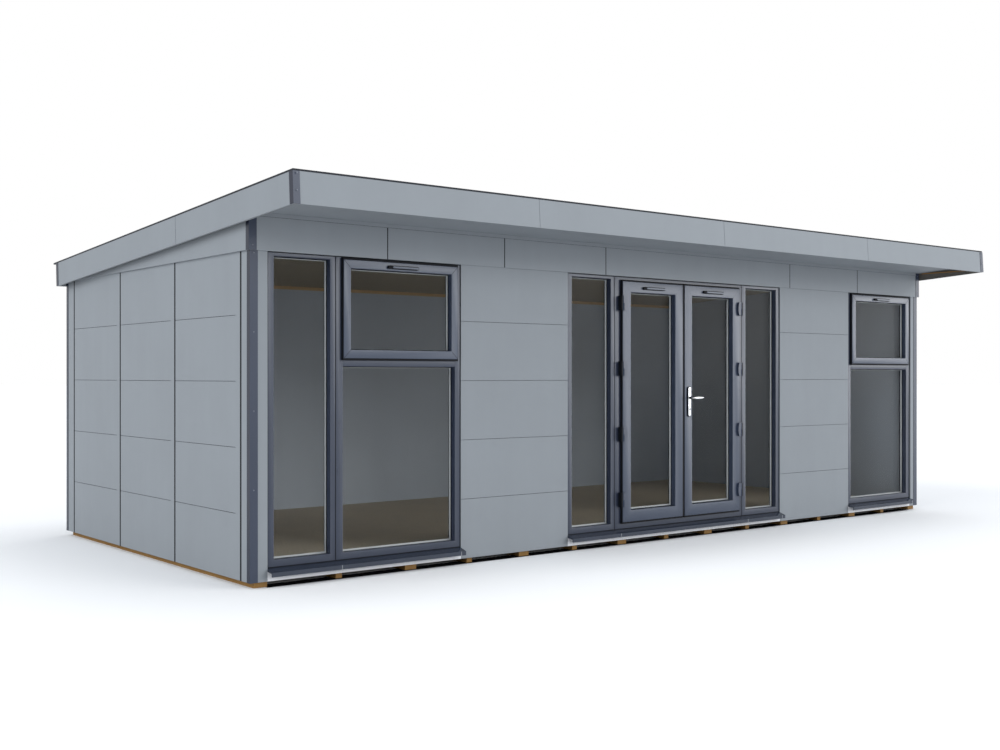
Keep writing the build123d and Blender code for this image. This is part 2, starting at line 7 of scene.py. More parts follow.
import json
from math import pi, radians

import bpy
import numpy as np
from bpy.props import FloatProperty, FloatVectorProperty, IntProperty, PointerProperty
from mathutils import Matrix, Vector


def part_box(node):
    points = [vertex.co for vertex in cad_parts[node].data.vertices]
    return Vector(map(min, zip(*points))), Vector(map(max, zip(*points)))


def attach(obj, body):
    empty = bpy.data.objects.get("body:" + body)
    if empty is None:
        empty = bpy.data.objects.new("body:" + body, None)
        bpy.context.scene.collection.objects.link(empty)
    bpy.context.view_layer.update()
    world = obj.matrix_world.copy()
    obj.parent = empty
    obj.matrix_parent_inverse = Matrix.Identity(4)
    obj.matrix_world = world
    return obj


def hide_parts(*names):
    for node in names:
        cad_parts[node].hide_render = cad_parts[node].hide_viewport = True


bl_info = {
    "name": "Garden office pod",
    "version": (1, 0, 0),
    "blender": (4, 5, 0),
    "location": "3D View > Sidebar > Pod",
    "description": "Builds the pod's frames, glazing, seals, fittings, finishes and stage",
    "category": "Object",
}

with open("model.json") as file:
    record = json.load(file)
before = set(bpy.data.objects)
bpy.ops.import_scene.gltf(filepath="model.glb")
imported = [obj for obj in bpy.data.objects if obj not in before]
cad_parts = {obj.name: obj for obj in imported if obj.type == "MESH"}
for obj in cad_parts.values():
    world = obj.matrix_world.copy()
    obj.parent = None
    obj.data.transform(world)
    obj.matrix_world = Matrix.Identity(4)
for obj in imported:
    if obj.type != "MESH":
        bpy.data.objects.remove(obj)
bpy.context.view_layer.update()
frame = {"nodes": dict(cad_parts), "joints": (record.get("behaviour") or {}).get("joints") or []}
NODES = frame["nodes"]


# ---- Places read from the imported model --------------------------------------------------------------

# Decimals to which points and depths are merged, and how far apart levels and edges that match may lie
MERGE_DIGITS = 5
DEPTH_DIGITS = 4
FLAT = 2e-5
SAME_DEPTH = 2e-4
SAME_EDGE = 2e-3


def node_box(name):
    """The low and high corners of a CAD node as arrays."""
    low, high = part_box(name)
    return np.array(low), np.array(high)


def node_triangles(name):
    """A CAD node's points, with those in one place merged, and its triangles' corners."""
    mesh = NODES[name].data
    mesh.calc_loop_triangles()
    points = np.empty(len(mesh.vertices) * 3)
    mesh.vertices.foreach_get("co", points)
    corners = np.empty(len(mesh.loop_triangles) * 3, dtype=np.int32)
    mesh.loop_triangles.foreach_get("vertices", corners)
    kept, merged = np.unique(np.round(points.reshape(-1, 3), MERGE_DIGITS), axis=0, return_inverse=True)
    return kept, merged.ravel()[corners].reshape(-1, 3)


def solid_boxes(name, axis=None, level=None):
    """The (low, high) corners of each separate solid of a CAD node, as an array of shape (solids, 2, 3).

    Every triangle gives its lowest label to its corners until none changes. Given an axis and a level, only
    the triangles flat at that level count, so each box is one flat patch, such as the floor of a groove.
    """
    kept, corners = node_triangles(name)
    if axis is not None:
        corners = corners[np.all(np.abs(kept[corners][:, :, axis] - level) < FLAT, axis=1)]
    if not len(corners):
        return np.zeros((0, 2, 3))
    labels = np.arange(len(kept))
    while True:
        lowest = labels[corners].min(axis=1)
        spread = labels.copy()
        np.minimum.at(spread, corners.ravel(), np.repeat(lowest, 3))
        if np.array_equal(spread, labels):
            break
        labels = spread
    used = np.unique(labels[corners])
    boxes = [(kept[labels == label].min(axis=0), kept[labels == label].max(axis=0)) for label in used]
    return np.array(sorted(boxes, key=lambda box: (box[0][0], box[0][2], box[0][1])))


def mitred_rings(name):
    """The mitred rings in a CAD node: (low corner, high corner, widths left right bottom top) of each."""
    boxes = solid_boxes(name)
    sizes = boxes[:, 1] - boxes[:, 0]
    uprights = boxes[sizes[:, 2] > sizes[:, 0]]
    rails = boxes[sizes[:, 2] <= sizes[:, 0]]
    rings = []
    for depth in np.unique(np.round(uprights[:, 0, 1], DEPTH_DIGITS)):
        level = uprights[np.abs(uprights[:, 0, 1] - depth) < SAME_DEPTH]
        for left, right in zip(level[0::2], level[1::2]):
            across = rails[
                (np.abs(rails[:, 0, 1] - depth) < SAME_DEPTH)
                & (np.abs(rails[:, 0, 0] - left[0][0]) < SAME_EDGE)
                & (np.abs(rails[:, 1, 0] - right[1][0]) < SAME_EDGE)
            ]
            bottom = across[np.argmin(across[:, 0, 2])]
            top = across[np.argmax(across[:, 1, 2])]
            widths = [side[1][0] - side[0][0] for side in (left, right)]
            widths += [rail[1][2] - rail[0][2] for rail in (bottom, top)]
            low = np.array([left[0][0], left[0][1], bottom[0][2]])
            high = np.array([right[1][0], right[1][1], top[1][2]])
            rings.append((low, high, widths))
    return rings


# ---- Surfaces as whole arrays -----------------------------------------------------------------------

# Steps that lift a laid-on surface clear of the one under it or let a piece reach into another
HAIR = 0.0001
SKIN = 0.0002
LAP = 0.0005
ROUND_END_STEPS = 9


class Shape:
    """Points, faces and face-corner coordinates of one closed surface."""

    def __init__(self, points, faces, coordinates=None):
        self.points = np.asarray(points, dtype=float).reshape(-1, 3)
        self.faces = [np.asarray(face) for face in faces]
        self.coordinates = coordinates or [np.zeros(face.shape + (2,)) for face in self.faces]
        if self.volume() < 0:
            self.faces = [face[:, ::-1] for face in self.faces]
            self.coordinates = [corner[:, ::-1] for corner in self.coordinates]

    def volume(self):
        """Six times the signed volume: each face's fan of corners, each dotted with the next two's cross."""
        total = 0.0
        for face in self.faces:
            first = self.points[face[:, 0]]
            for step in range(1, face.shape[1] - 1):
                second, third = self.points[face[:, step]], self.points[face[:, step + 1]]
                total += np.einsum("ij,ij->i", first, np.cross(second, third)).sum()
        return total


def grid_faces(rows, columns, close_rows, close_columns):
    """Quads between neighbouring points of a grid, joined round in either direction where it closes."""
    row, column = np.meshgrid(
        np.arange(rows if close_rows else rows - 1),
        np.arange(columns if close_columns else columns - 1),
        indexing="ij",
    )
    below, beside = (row + 1) % rows, (column + 1) % columns
    corners = [(row, column), (row, beside), (below, beside), (below, column)]
    return np.stack([line * columns + place for line, place in corners], axis=-1).reshape(-1, 4)


def quad_map(near, far, start, end):
    """Surface coordinates of quads: near to far along one side, start to end along the other."""
    near, far, start, end = np.broadcast_arrays(near, far, start, end)
    return np.stack([near, start, far, start, far, end, near, end], axis=-1).reshape(-1, 4, 2)


def upright(outline, level):
    """An outline of (x, z) points, stood up at a level along Y."""
    return np.insert(outline, 1, level, axis=1)


BAR_MAP_STEP = 3.0


def ring(low, high, widths, section):
    """Four mitred bars: a point of the section stands share * width + inset in from each outer edge.

    The section's rows are share, inset and depth along Y, and go once round the bar.
    """
    share, inset, depth = np.asarray(section, dtype=float).T
    left, right, bottom, top = (share * width + inset for width in widths)
    x = np.stack([low[0] + left, high[0] - right, high[0] - right, low[0] + left], axis=1)
    z = np.stack([low[2] + bottom, low[2] + bottom, high[2] - top, high[2] - top], axis=1)
    y = np.repeat(depth[:, None], 4, axis=1)
    points = np.stack([x, y, z], axis=-1)
    count = len(share)
    faces = grid_faces(count, 4, True, True)
    flat = share * widths[0] + inset
    step = np.hypot(np.diff(flat, append=flat[:1]), np.diff(depth, append=depth[:1]))
    across = np.concatenate([[0], np.cumsum(step)])
    spans = np.tile([high[0] - low[0], high[2] - low[2]], 2)
    row, column = np.divmod(np.arange(count * 4), 4)
    start = column * BAR_MAP_STEP
    coordinates = quad_map(start, spans[column] + start, across[row], across[row + 1])
    return Shape(points, [faces], [coordinates])


def bar_section(front, rear, radius, steps=4):
    """A bar's section: square at the back, with its two front edges rounded to quarter circles."""
    turn = np.linspace(0, pi / 2, steps)
    bend, rise = radius - radius * np.cos(turn), radius - radius * np.sin(turn)
    outer = np.stack([0 * turn, bend, front + rise], axis=1)
    inner = np.stack([0 * turn + 1, -rise, front + bend], axis=1)
    return np.concatenate([[[0, 0, rear]], outer, inner, [[1, 0, rear]]])


def flat_section(front, rear):
    """A rectangular section across the whole width of a bar."""
    return np.array([[0, 0, rear], [0, 0, front], [1, 0, front], [1, 0, rear]])


MITRE_INSET = 0.004


def mitre_lines(low, high, widths, width):
    """A thin strip on each mitre of a ring's face, from just inside its outer to its inner corner."""
    left, right, bottom, top = widths
    outer = rounded_outline(low[0], high[0], low[2], high[2], 0)
    inner = rounded_outline(low[0] + left, high[0] - right, low[2] + bottom, high[2] - top, 0)
    way = (inner - outer) / np.linalg.norm(inner - outer, axis=1, keepdims=True)
    side = np.stack([-way[:, 1], way[:, 0]], axis=1) * width / 2
    near, far = outer + way * MITRE_INSET, inner - way * MITRE_INSET
    flat = np.stack([near - side, far - side, far + side, near + side], axis=1)
    return [lofted([upright(corner, low[1] - SKIN), upright(corner, low[1] + LAP)]) for corner in flat]


def prism(outline, start, end, axis):
    """An outline of (next axis, axis after) points, counted cyclically, carried straight along one axis."""
    outline = np.asarray(outline, dtype=float)
    count = len(outline)
    points = np.empty((2, count, 3))
    points[0, :, axis], points[1, :, axis] = start, end
    points[:, :, (axis + 1) % 3] = outline[:, 0]
    points[:, :, (axis + 2) % 3] = outline[:, 1]
    sides = grid_faces(2, count, False, True)
    length = abs(end - start)
    step = np.hypot(*(np.roll(outline, -1, axis=0) - outline).T)
    across = np.concatenate([[0], np.cumsum(step)])
    sides_map = quad_map(across[:-1], across[1:], 0.0, length)[..., ::-1]
    here = np.arange(count)
    caps = np.stack([here[::-1], here + count])
    return Shape(points, [sides, caps], [sides_map, np.repeat(outline[None], 2, axis=0)])


def slab(low, high, radius=0.0, steps=3):
    """A box with the four edges that run along X rounded: a rounded outline carried along X."""
    outline = rounded_outline(low[1], high[1], low[2], high[2], radius, steps)
    return prism(outline, low[0], high[0], 0)


def rounded_outline(low_a, high_a, low_b, high_b, radius, steps=4):
    """A rectangle whose corners are quarter circles, as (a, b) points counter-clockwise."""
    if radius <= 0:
        return np.array([[low_a, low_b], [high_a, low_b], [high_a, high_b], [low_a, high_b]])
    turn = np.linspace(0, pi / 2, steps)
    centres = [
        (high_a - radius, low_b + radius, -pi / 2),
        (high_a - radius, high_b - radius, 0),
        (low_a + radius, high_b - radius, pi / 2),
        (low_a + radius, low_b + radius, pi),
    ]
    return np.concatenate([
        np.stack([a + radius * np.cos(start + turn), b + radius * np.sin(start + turn)], axis=1)
        for a, b, start in centres
    ])


def lofted(rings):
    """Rings of equally many points joined in turn, with both ends closed by a face each."""
    rings = np.asarray(rings, dtype=float)
    layers, count = rings.shape[:2]
    here = np.arange(count)
    caps = np.stack([here[::-1], here + (layers - 1) * count])
    return Shape(rings, [grid_faces(layers, count, False, True), caps])


UP = np.array([0.0, 0.0, 1.0])
DOME_TOP = 0.94


def domes(centres, normal, radius, height, sides=12, layers=4):
    """Shallow round heads: at share s of its height a head's radius has the square root of 1 - s squared."""
    normal = np.asarray(normal, dtype=float)
    across = UP
    beside = np.cross(normal, across)
    turn = np.linspace(0, 2 * pi, sides, endpoint=False)
    share = np.linspace(0, DOME_TOP, layers)
    spoke = np.sqrt(1 - share**2) * radius
    circle = np.cos(turn)[:, None] * beside + np.sin(turn)[:, None] * across
    head = spoke[:, None, None] * circle[None] + (share * height)[:, None, None] * normal
    base = head[:1] - normal * LAP
    head = np.concatenate([base, head])
    return [lofted(head + centre) for centre in np.asarray(centres)]


def swept_tube(centres, radii, sides=20):
    """An oval carried along a path that runs roughly along X: half axes radii (y, z) at each centre."""
    turn = np.linspace(0, 2 * pi, sides, endpoint=False)
    centres = np.asarray(centres, dtype=float)
    radii = np.asarray(radii, dtype=float)
    way = np.gradient(centres, axis=0)
    way /= np.linalg.norm(way, axis=1, keepdims=True)
    out = np.cross(UP, way)
    out /= np.linalg.norm(out, axis=1, keepdims=True)
    rise = np.cross(way, out)
    points = (
        centres[:, None]
        + radii[:, 0, None, None] * np.cos(turn)[None, :, None] * out[:, None]
        + radii[:, 1, None, None] * np.sin(turn)[None, :, None] * rise[:, None]
    )
    return lofted(points)


def round_ended(low, high, inset, level, left=0.0):
    """A box's outline with round ends, set in all round, at a level along Y; left moves its left end in."""
    radius = min(high[0] - low[0], high[2] - low[2]) / 2 - inset
    start, end = low[0] + inset + left, high[0] - inset
    flat = rounded_outline(start, end, low[2] + inset, high[2] - inset, radius, ROUND_END_STEPS)
    return upright(flat, level)


def round_loft(x, z, steps, sides=24):
    """Circles about an axis along Y through (x, z), one for each (radius, y) step, joined and closed."""
    turn = np.linspace(0, 2 * pi, sides, endpoint=False)
    circle = np.stack([np.cos(turn), np.sin(turn)], axis=1)
    return lofted([upright(circle * radius + (x, z), y) for radius, y in steps])


def make_object(name, shapes, material, smooth=35):
    """One object from several closed shapes, with its place in its mesh."""
    mesh = bpy.data.meshes.new(name)
    offsets = np.cumsum([0] + [len(shape.points) for shape in shapes])
    faces, coordinates = [], []
    for shape, offset in zip(shapes, offsets):
        for face, corner in zip(shape.faces, shape.coordinates):
            faces.extend((face + offset).tolist())
            coordinates.append(np.asarray(corner, dtype=float).reshape(-1, 2))
    mesh.from_pydata(np.concatenate([shape.points for shape in shapes]).tolist(), [], faces)
    layer = mesh.uv_layers.new(name="surface")
    layer.uv.foreach_set("vector", np.concatenate(coordinates).ravel())
    mesh.polygons.foreach_set("use_smooth", np.ones(len(mesh.polygons), dtype=bool))
    mesh.set_sharp_from_angle(angle=radians(smooth))
    mesh.materials.append(material)
    mesh.validate()
    made = bpy.data.objects.new(name, mesh)
    bpy.context.scene.collection.objects.link(made)
    return made


def make_piece(name, shapes, look, body, smooth=35):
    """One piece in a finish, riding on a body."""
    piece = make_object(name, shapes, finish(look), smooth)
    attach(piece, body)
    return piece


# ---- Materials --------------------------------------------------------------------------------------


class Flow:
    """A value that flows between nodes: arithmetic on it adds Math nodes."""

    def __init__(self, tree, socket):
        self.tree, self.socket = tree, socket

    def _join(self, operation, first, second):
        return self.tree.add("ShaderNodeMath", {"operation": operation}, {0: first, 1: second})

    def __add__(self, other):
        return self._join("ADD", self, other)

    def __radd__(self, other):
        return self._join("ADD", other, self)

    def __sub__(self, other):
        return self._join("SUBTRACT", self, other)

    def __rsub__(self, other):
        return self._join("SUBTRACT", other, self)

    def __mul__(self, other):
        return self._join("MULTIPLY", self, other)

    def __rmul__(self, other):
        return self._join("MULTIPLY", other, self)

    def __lt__(self, other):
        return self._join("LESS_THAN", self, other)

    def __gt__(self, other):
        return self._join("GREATER_THAN", self, other)

    def __abs__(self):
        return self._join("ABSOLUTE", self, 0.0)


class Tree:
    """The nodes of one material or world."""

    def __init__(self, owner):
        owner.use_nodes = True
        self.nodes, self.links = owner.node_tree.nodes, owner.node_tree.links
        self.nodes.clear()

    def add(self, kind, settings=None, sockets=None, output=0):
        """Adds a node, its settings first and then its sockets' values or links, and gives one output."""
        node = self.nodes.new(kind)
        for key, value in (settings or {}).items():
            setattr(node, key, value)
        for key, value in (sockets or {}).items():
            if isinstance(value, Flow):
                self.links.new(value.socket, node.inputs[key])
            else:
                node.inputs[key].default_value = value
        return Flow(self, node.outputs[output]) if node.outputs else None

    def mix(self, share, first, second):
        """Mixes two colours by a share."""
        first = first if isinstance(first, Flow) else (*first, 1.0)
        second = second if isinstance(second, Flow) else (*second, 1.0)
        return self.add("ShaderNodeMix", {"data_type": "RGBA"}, {0: share, 6: first, 7: second}, output=2)

    def shades(self, share, colour, dark, light):
        """Mixes a colour's darker and lighter shades, given as factors, by a share."""
        return self.mix(share, shade(colour, dark), shade(colour, light))

    def place(self, scale=(1.0, 1.0, 1.0), surface=False):
        """Object coordinates, or the piece's own surface map, stretched by a scale along each axis."""
        source = self.add("ShaderNodeTexCoord", output=2 if surface else 3)
        return self.add("ShaderNodeMapping", sockets={"Vector": source, "Scale": scale})

    def along(self, axis):
        """One of the object coordinates as a number."""
        source = self.add("ShaderNodeTexCoord", output=3)
        return self.add("ShaderNodeSeparateXYZ", sockets={"Vector": source}, output=axis)

    def facing(self, axis):
        """How much the surface faces along one of the object's axes, as a number from -1 to 1."""
        source = self.add("ShaderNodeTexCoord", output=1)
        return self.add("ShaderNodeSeparateXYZ", sockets={"Vector": source}, output=axis)

    def noise(self, place, scale, detail=3.0, rough=0.5):
        """A cloudy pattern between 0 and 1."""
        return self.add(
            "ShaderNodeTexNoise",
            {"noise_dimensions": "3D"},
            {"Vector": place, "Scale": scale, "Detail": detail, "Roughness": rough},
        )

    def relief(self, height, strength, distance):
        """A bump from a height pattern."""
        sockets = {"Height": height, "Strength": strength, "Distance": distance}
        return self.add("ShaderNodeBump", sockets=sockets)

    def plain_rays(self):
        """1 for rays from the eye and those that mirror or pass, 0 for light from one thing to another."""
        path = self.add("ShaderNodeLightPath").socket.node
        seen = [Flow(self, path.outputs[f"Is {kind} Ray"]) for kind in ("Camera", "Glossy", "Transmission")]
        return (seen[0] + seen[1] + seen[2]) > 0.5


def finish_material(name, build, **constants):
    """A Principled material: build gives the sockets that vary, constants the ones that don't."""
    material = bpy.data.materials.new(name)
    tree = Tree(material)
    sockets = {key.replace("_", " "): value for key, value in constants.items()}
    sockets.update(build(tree))
    shader = tree.add("ShaderNodeBsdfPrincipled", sockets=sockets)
    tree.add("ShaderNodeOutputMaterial", sockets={"Surface": shader})
    return material


def shade(colour, factor):
    """A colour made lighter or darker by a factor."""
    return tuple(min(1.0, max(0.0, channel * factor)) for channel in colour)


def board_finish(name, colour, inner=None, inside=(), roughness=0.6, spread=0.07):
    """Smooth painted board: slow clouds, faint upright streaks and a fine grain, each a few percent.

    Given an inner colour, the faces within the inside span along X and along Y show that colour instead.
    """

    def build(tree):
        clouds = tree.noise(tree.place(), 2.1, 5.0, 0.62)
        streaks = tree.noise(tree.place((6.0, 6.0, 0.6)), 1.2, 3.0, 0.55)
        grain = tree.noise(tree.place(), 260.0, 2.0)
        share = (clouds * 0.62 + streaks * 0.28 + grain * 0.1 - 0.5) * 1.6 + 0.5
        base = tree.shades(share, colour, 1 - spread, 1 + spread)
        if inner:
            within = 1.0
            for axis, (low, high) in enumerate(inside):
                within = (abs(tree.along(axis) - (low + high) / 2) < (high - low) / 2) * within
            base = tree.mix(within, base, tree.shades(share, inner, 1 - spread, 1 + spread))
        return {
            "Base Color": base,
            "Roughness": grain * 0.1 + (roughness - 0.08) + clouds * 0.08,
            "Normal": tree.relief(grain * 0.6 + clouds * 0.4, 0.14, 0.0008),
        }

    return finish_material(name, build, Specular_IOR_Level=0.3)


def coated_finish(name, colour, roughness, gloss=0.5, second=None, where=None):
    """Powder-coated metal: orange-peel relief and a little wear in the sheen.

    Given a second colour, the surface shows it where the mask that "where" makes from the tree is 1.
    """

    def build(tree):
        peel = tree.noise(tree.place(), 620.0, 2.0)
        wear = tree.noise(tree.place((1.0, 1.0, 0.35)), 4.0, 4.0)
        base = tree.shades(wear * 0.6 + peel * 0.4, colour, 0.85, 1.15)
        if second:
            base = tree.mix(where(tree), base, tree.shades(wear, second, 0.85, 1.15))
        return {
            "Base Color": base,
            "Roughness": wear * 0.14 + (roughness - 0.07),
            "Normal": tree.relief(peel, 0.1, 0.0004),
        }

    return finish_material(name, build, Specular_IOR_Level=gloss)


def foil_finish(name, colour, gloss):
    """Foiled frame profile: fine grain lines along each bar, embossed and slightly lighter."""

    def build(tree):
        lines = tree.noise(tree.place((6.0, 420.0, 1.0), True), 1.0, 3.0, 0.6)
        clouds = tree.noise(tree.place(), 7.0, 3.0)
        return {
            "Base Color": tree.shades(lines * 0.6 + clouds * 0.4, colour, 0.85, 1.15),
            "Roughness": lines * 0.1 + clouds * 0.08 + 0.21,
            "Normal": tree.relief(lines, 0.12, 0.0004),
        }

    return finish_material(name, build, Specular_IOR_Level=gloss, Specular_Tint=(0.94, 0.97, 1.0, 1.0))


def timber_finish(name, dark, light):
    """Treated softwood: growth rings on the ends, drawn out into grain along the bearer, with streaks."""

    def build(tree):
        place = tree.place((1.0, 0.08, 1.0))
        warp = tree.noise(place, 9.0, 3.0)
        rings = tree.add(
            "ShaderNodeTexWave",
            {"wave_type": "RINGS", "rings_direction": "Y", "wave_profile": "SAW"},
            {"Vector": place, "Scale": 34.0, "Distortion": 5.0, "Detail": 3.0, "Detail Scale": 1.4},
            output=1,
        )
        fibres = tree.noise(tree.place((160.0, 4.0, 160.0)), 1.0, 3.0)
        share = rings * 0.45 + fibres * 0.35 + warp * 0.2
        return {
            "Base Color": tree.mix(share, dark, light),
            "Roughness": fibres * 0.2 + 0.6,
            "Normal": tree.relief(rings * 0.5 + fibres * 0.5, 0.3, 0.001),
        }

    return finish_material(name, build, Specular_IOR_Level=0.3)


def pressed_finish(name, colour):
    """Pressed board: small angular chips of several shades under a matt seal."""

    def build(tree):
        chips = tree.add("ShaderNodeTexVoronoi", {"feature": "F1"}, {"Vector": tree.place(), "Scale": 90.0})
        clouds = tree.noise(tree.place(), 3.0, 4.0)
        return {
            "Base Color": tree.shades(chips * 0.6 + clouds * 0.4, colour, 0.75, 1.3),
            "Roughness": clouds * 0.2 + 0.55,
            "Normal": tree.relief(chips, 0.15, 0.0006),
        }

    return finish_material(name, build, Specular_IOR_Level=0.3)


def membrane_finish(name, colour):
    """Rubber roof sheet: slow waves in the sheet and a fine matt dust."""

    def build(tree):
        waves = tree.noise(tree.place(), 0.9, 3.0)
        dust = tree.noise(tree.place(), 60.0, 4.0)
        return {
            "Base Color": tree.shades(dust * 0.5 + waves * 0.5, colour, 0.8, 1.3),
            "Roughness": dust * 0.2 + 0.62,
            "Normal": tree.relief(waves * 0.8 + dust * 0.2, 0.25, 0.004),
        }

    return finish_material(name, build)


def rubber_finish(name, colour):
    """Rubber seal: nearly black, with faint extrusion lines."""

    def build(tree):
        lines = tree.noise(tree.place((3.0, 500.0, 1.0), True), 1.0, 2.0)
        return {
            "Base Color": tree.shades(lines, colour, 0.6, 1.4),
            "Roughness": lines * 0.15 + 0.53,
        }

    return finish_material(name, build, Specular_IOR_Level=0.12)


def metal_finish(name, colour, roughness, metallic=1.0):
    """Bright metal with a faint cloud of handling marks in its sheen."""

    def build(tree):
        marks = tree.noise(tree.place(), 38.0, 4.0)
        return {
            "Base Color": tree.shades(marks, colour, 0.96, 1.04),
            "Roughness": marks * 0.08 + roughness,
        }

    return finish_material(name, build, Metallic=metallic)


def glass_finish(name, tint, bend):
    """Clear glass: see-through with a slight tint, mirroring more at a flat angle, under faint dust."""
    material = bpy.data.materials.new(name)
    tree = Tree(material)
    dust = tree.noise(tree.place((1.0, 1.0, 0.5)), 2.6, 4.0, 0.6)
    mirrored = tree.add("ShaderNodeFresnel", sockets={"IOR": bend})
    clear = tree.add("ShaderNodeBsdfTransparent", sockets={"Color": (*tint, 1.0)})
    gloss = tree.add(
        "ShaderNodeBsdfPrincipled",
        sockets={"Base Color": (1.0, 1.0, 1.0, 1.0), "Metallic": 1.0, "Roughness": 0.16},
    )
    shader = tree.add("ShaderNodeMixShader", sockets={0: mirrored + dust * 0.002, 1: clear, 2: gloss})
    tree.add("ShaderNodeOutputMaterial", sockets={"Surface": shader})
    return material


FINISHES = {}


def finish(name):
    """A finish by name, made once from the pod's colours."""
    if name in FINISHES:
        return FINISHES[name]
    c, sizes = bpy.context.scene.pod_colours, bpy.context.scene.pod_sizes
    board_edge, lining_lap, nose_depth, pin_reach = 0.003, 0.02, 0.0015, 0.008
    eaves = node_box("right_fascia")[0][0] + board_edge
    everywhere = (-9, 9)
    room = (
        (node_box("left_wall")[1][0] - lining_lap, node_box("right_wall")[0][0] + lining_lap),
        (node_box("front_wall_left")[1][1] - lining_lap, node_box("rear_wall")[0][1] + lining_lap),
    )

    def painted_lit_legs(tree):
        """1 on the legs of a trim that face along Y, which take a lighter colour as painted light; the side
        legs keep a darker one as painted shade.
        """
        return abs(tree.facing(1)) > 0.5

    def painted_light_on_nose(tree):
        """1 on the front edge of a sill, which is painted lighter than the sill's top as painted light."""
        return tree.along(1) < float(node_box("sills")[0][1]) + nose_depth

    def between_pins(tree):
        """1 on the flags that lie on the leaves, between the two lines of pins."""
        pins = [joint["pos_m"][0] for joint in frame["joints"] if joint["name"].endswith("leaf_hinge")]
        return abs(tree.along(0) - sum(pins) / 2) < abs(pins[1] - pins[0]) / 2 + pin_reach

    makers = {
        "cladding": (board_finish, c.cladding),
        "wall_board": (board_finish, c.cladding, c.lining, room),
        "side_fascia_board": (board_finish, c.cladding, c.raw_board, ((-eaves, eaves), everywhere)),
        "pale_strip": (board_finish, c.base_strip, None, (), 0.5, 0.04),
        # one trim paint in two colours: front legs lighter as painted light, side legs darker as painted shade
        "dark_trim": (coated_finish, c.trim, 0.34, 0.35, c.trim_face, painted_lit_legs),
        "roof_trim": (coated_finish, c.roof_trim, 0.5, 0.15),
        "trim_screw": (coated_finish, c.trim_screw, 0.4),
        # the sills' front edges take a lighter colour than their tops as painted light
        "sill_metal": (coated_finish, c.sill, 0.2, 0.5, c.sill_nose, painted_light_on_nose),
        # hinge brackets and pins near-black: partly their dark paint, partly painted shade
        "hinge_paint": (coated_finish, c.hinge, 0.5, 0.15, c.leaf, between_pins),
        "leaf_paint": (coated_finish, c.leaf, 0.3),
        "frame_foil": (foil_finish, c.frame, 0.58),
        "leaf_foil": (foil_finish, c.leaf, 0.6),
        "timber": (timber_finish, c.timber_dark, c.timber_light),
        "plate_timber": (timber_finish, c.plate_dark, c.plate_light),
        "floor_board": (pressed_finish, c.floor),
        "ceiling_board": (pressed_finish, c.ceiling),
        "membrane": (membrane_finish, c.membrane),
        "rubber": (rubber_finish, c.rubber),
        "spacer": (metal_finish, c.spacer, 0.4, 0.15),
        "screw": (metal_finish, c.screw, 0.3, 0.6),
        "chrome": (metal_finish, c.chrome, 0.07),
        "glass": (glass_finish, c.glass, sizes.glass_bend),
    }
    make, *values = makers[name]
    FINISHES[name] = make(name, *values)
    return FINISHES[name]


def dress(name, *nodes):
    """Puts a finish in some CAD nodes' own material slots."""
    for node in nodes:
        for material_slot in NODES[node].material_slots:
            material_slot.material = finish(name)


# ---- Settings ---------------------------------------------------------------------------------------


def length(name, description, default):
    """A length in metres that a user may change."""
    return FloatProperty(
        name=name, description=description, default=default, min=0.0, unit="LENGTH", subtype="DISTANCE"
    )


def colour(name, description, default):
    """A colour that a user may change."""
    return FloatVectorProperty(
        name=name, description=description, default=default, size=3, min=0.0, max=1.0, subtype="COLOR"
    )


def number(name, description, default, low, high):
    """A plain number between two limits that a user may change."""
    return FloatProperty(name=name, description=description, default=default, min=low, max=high)


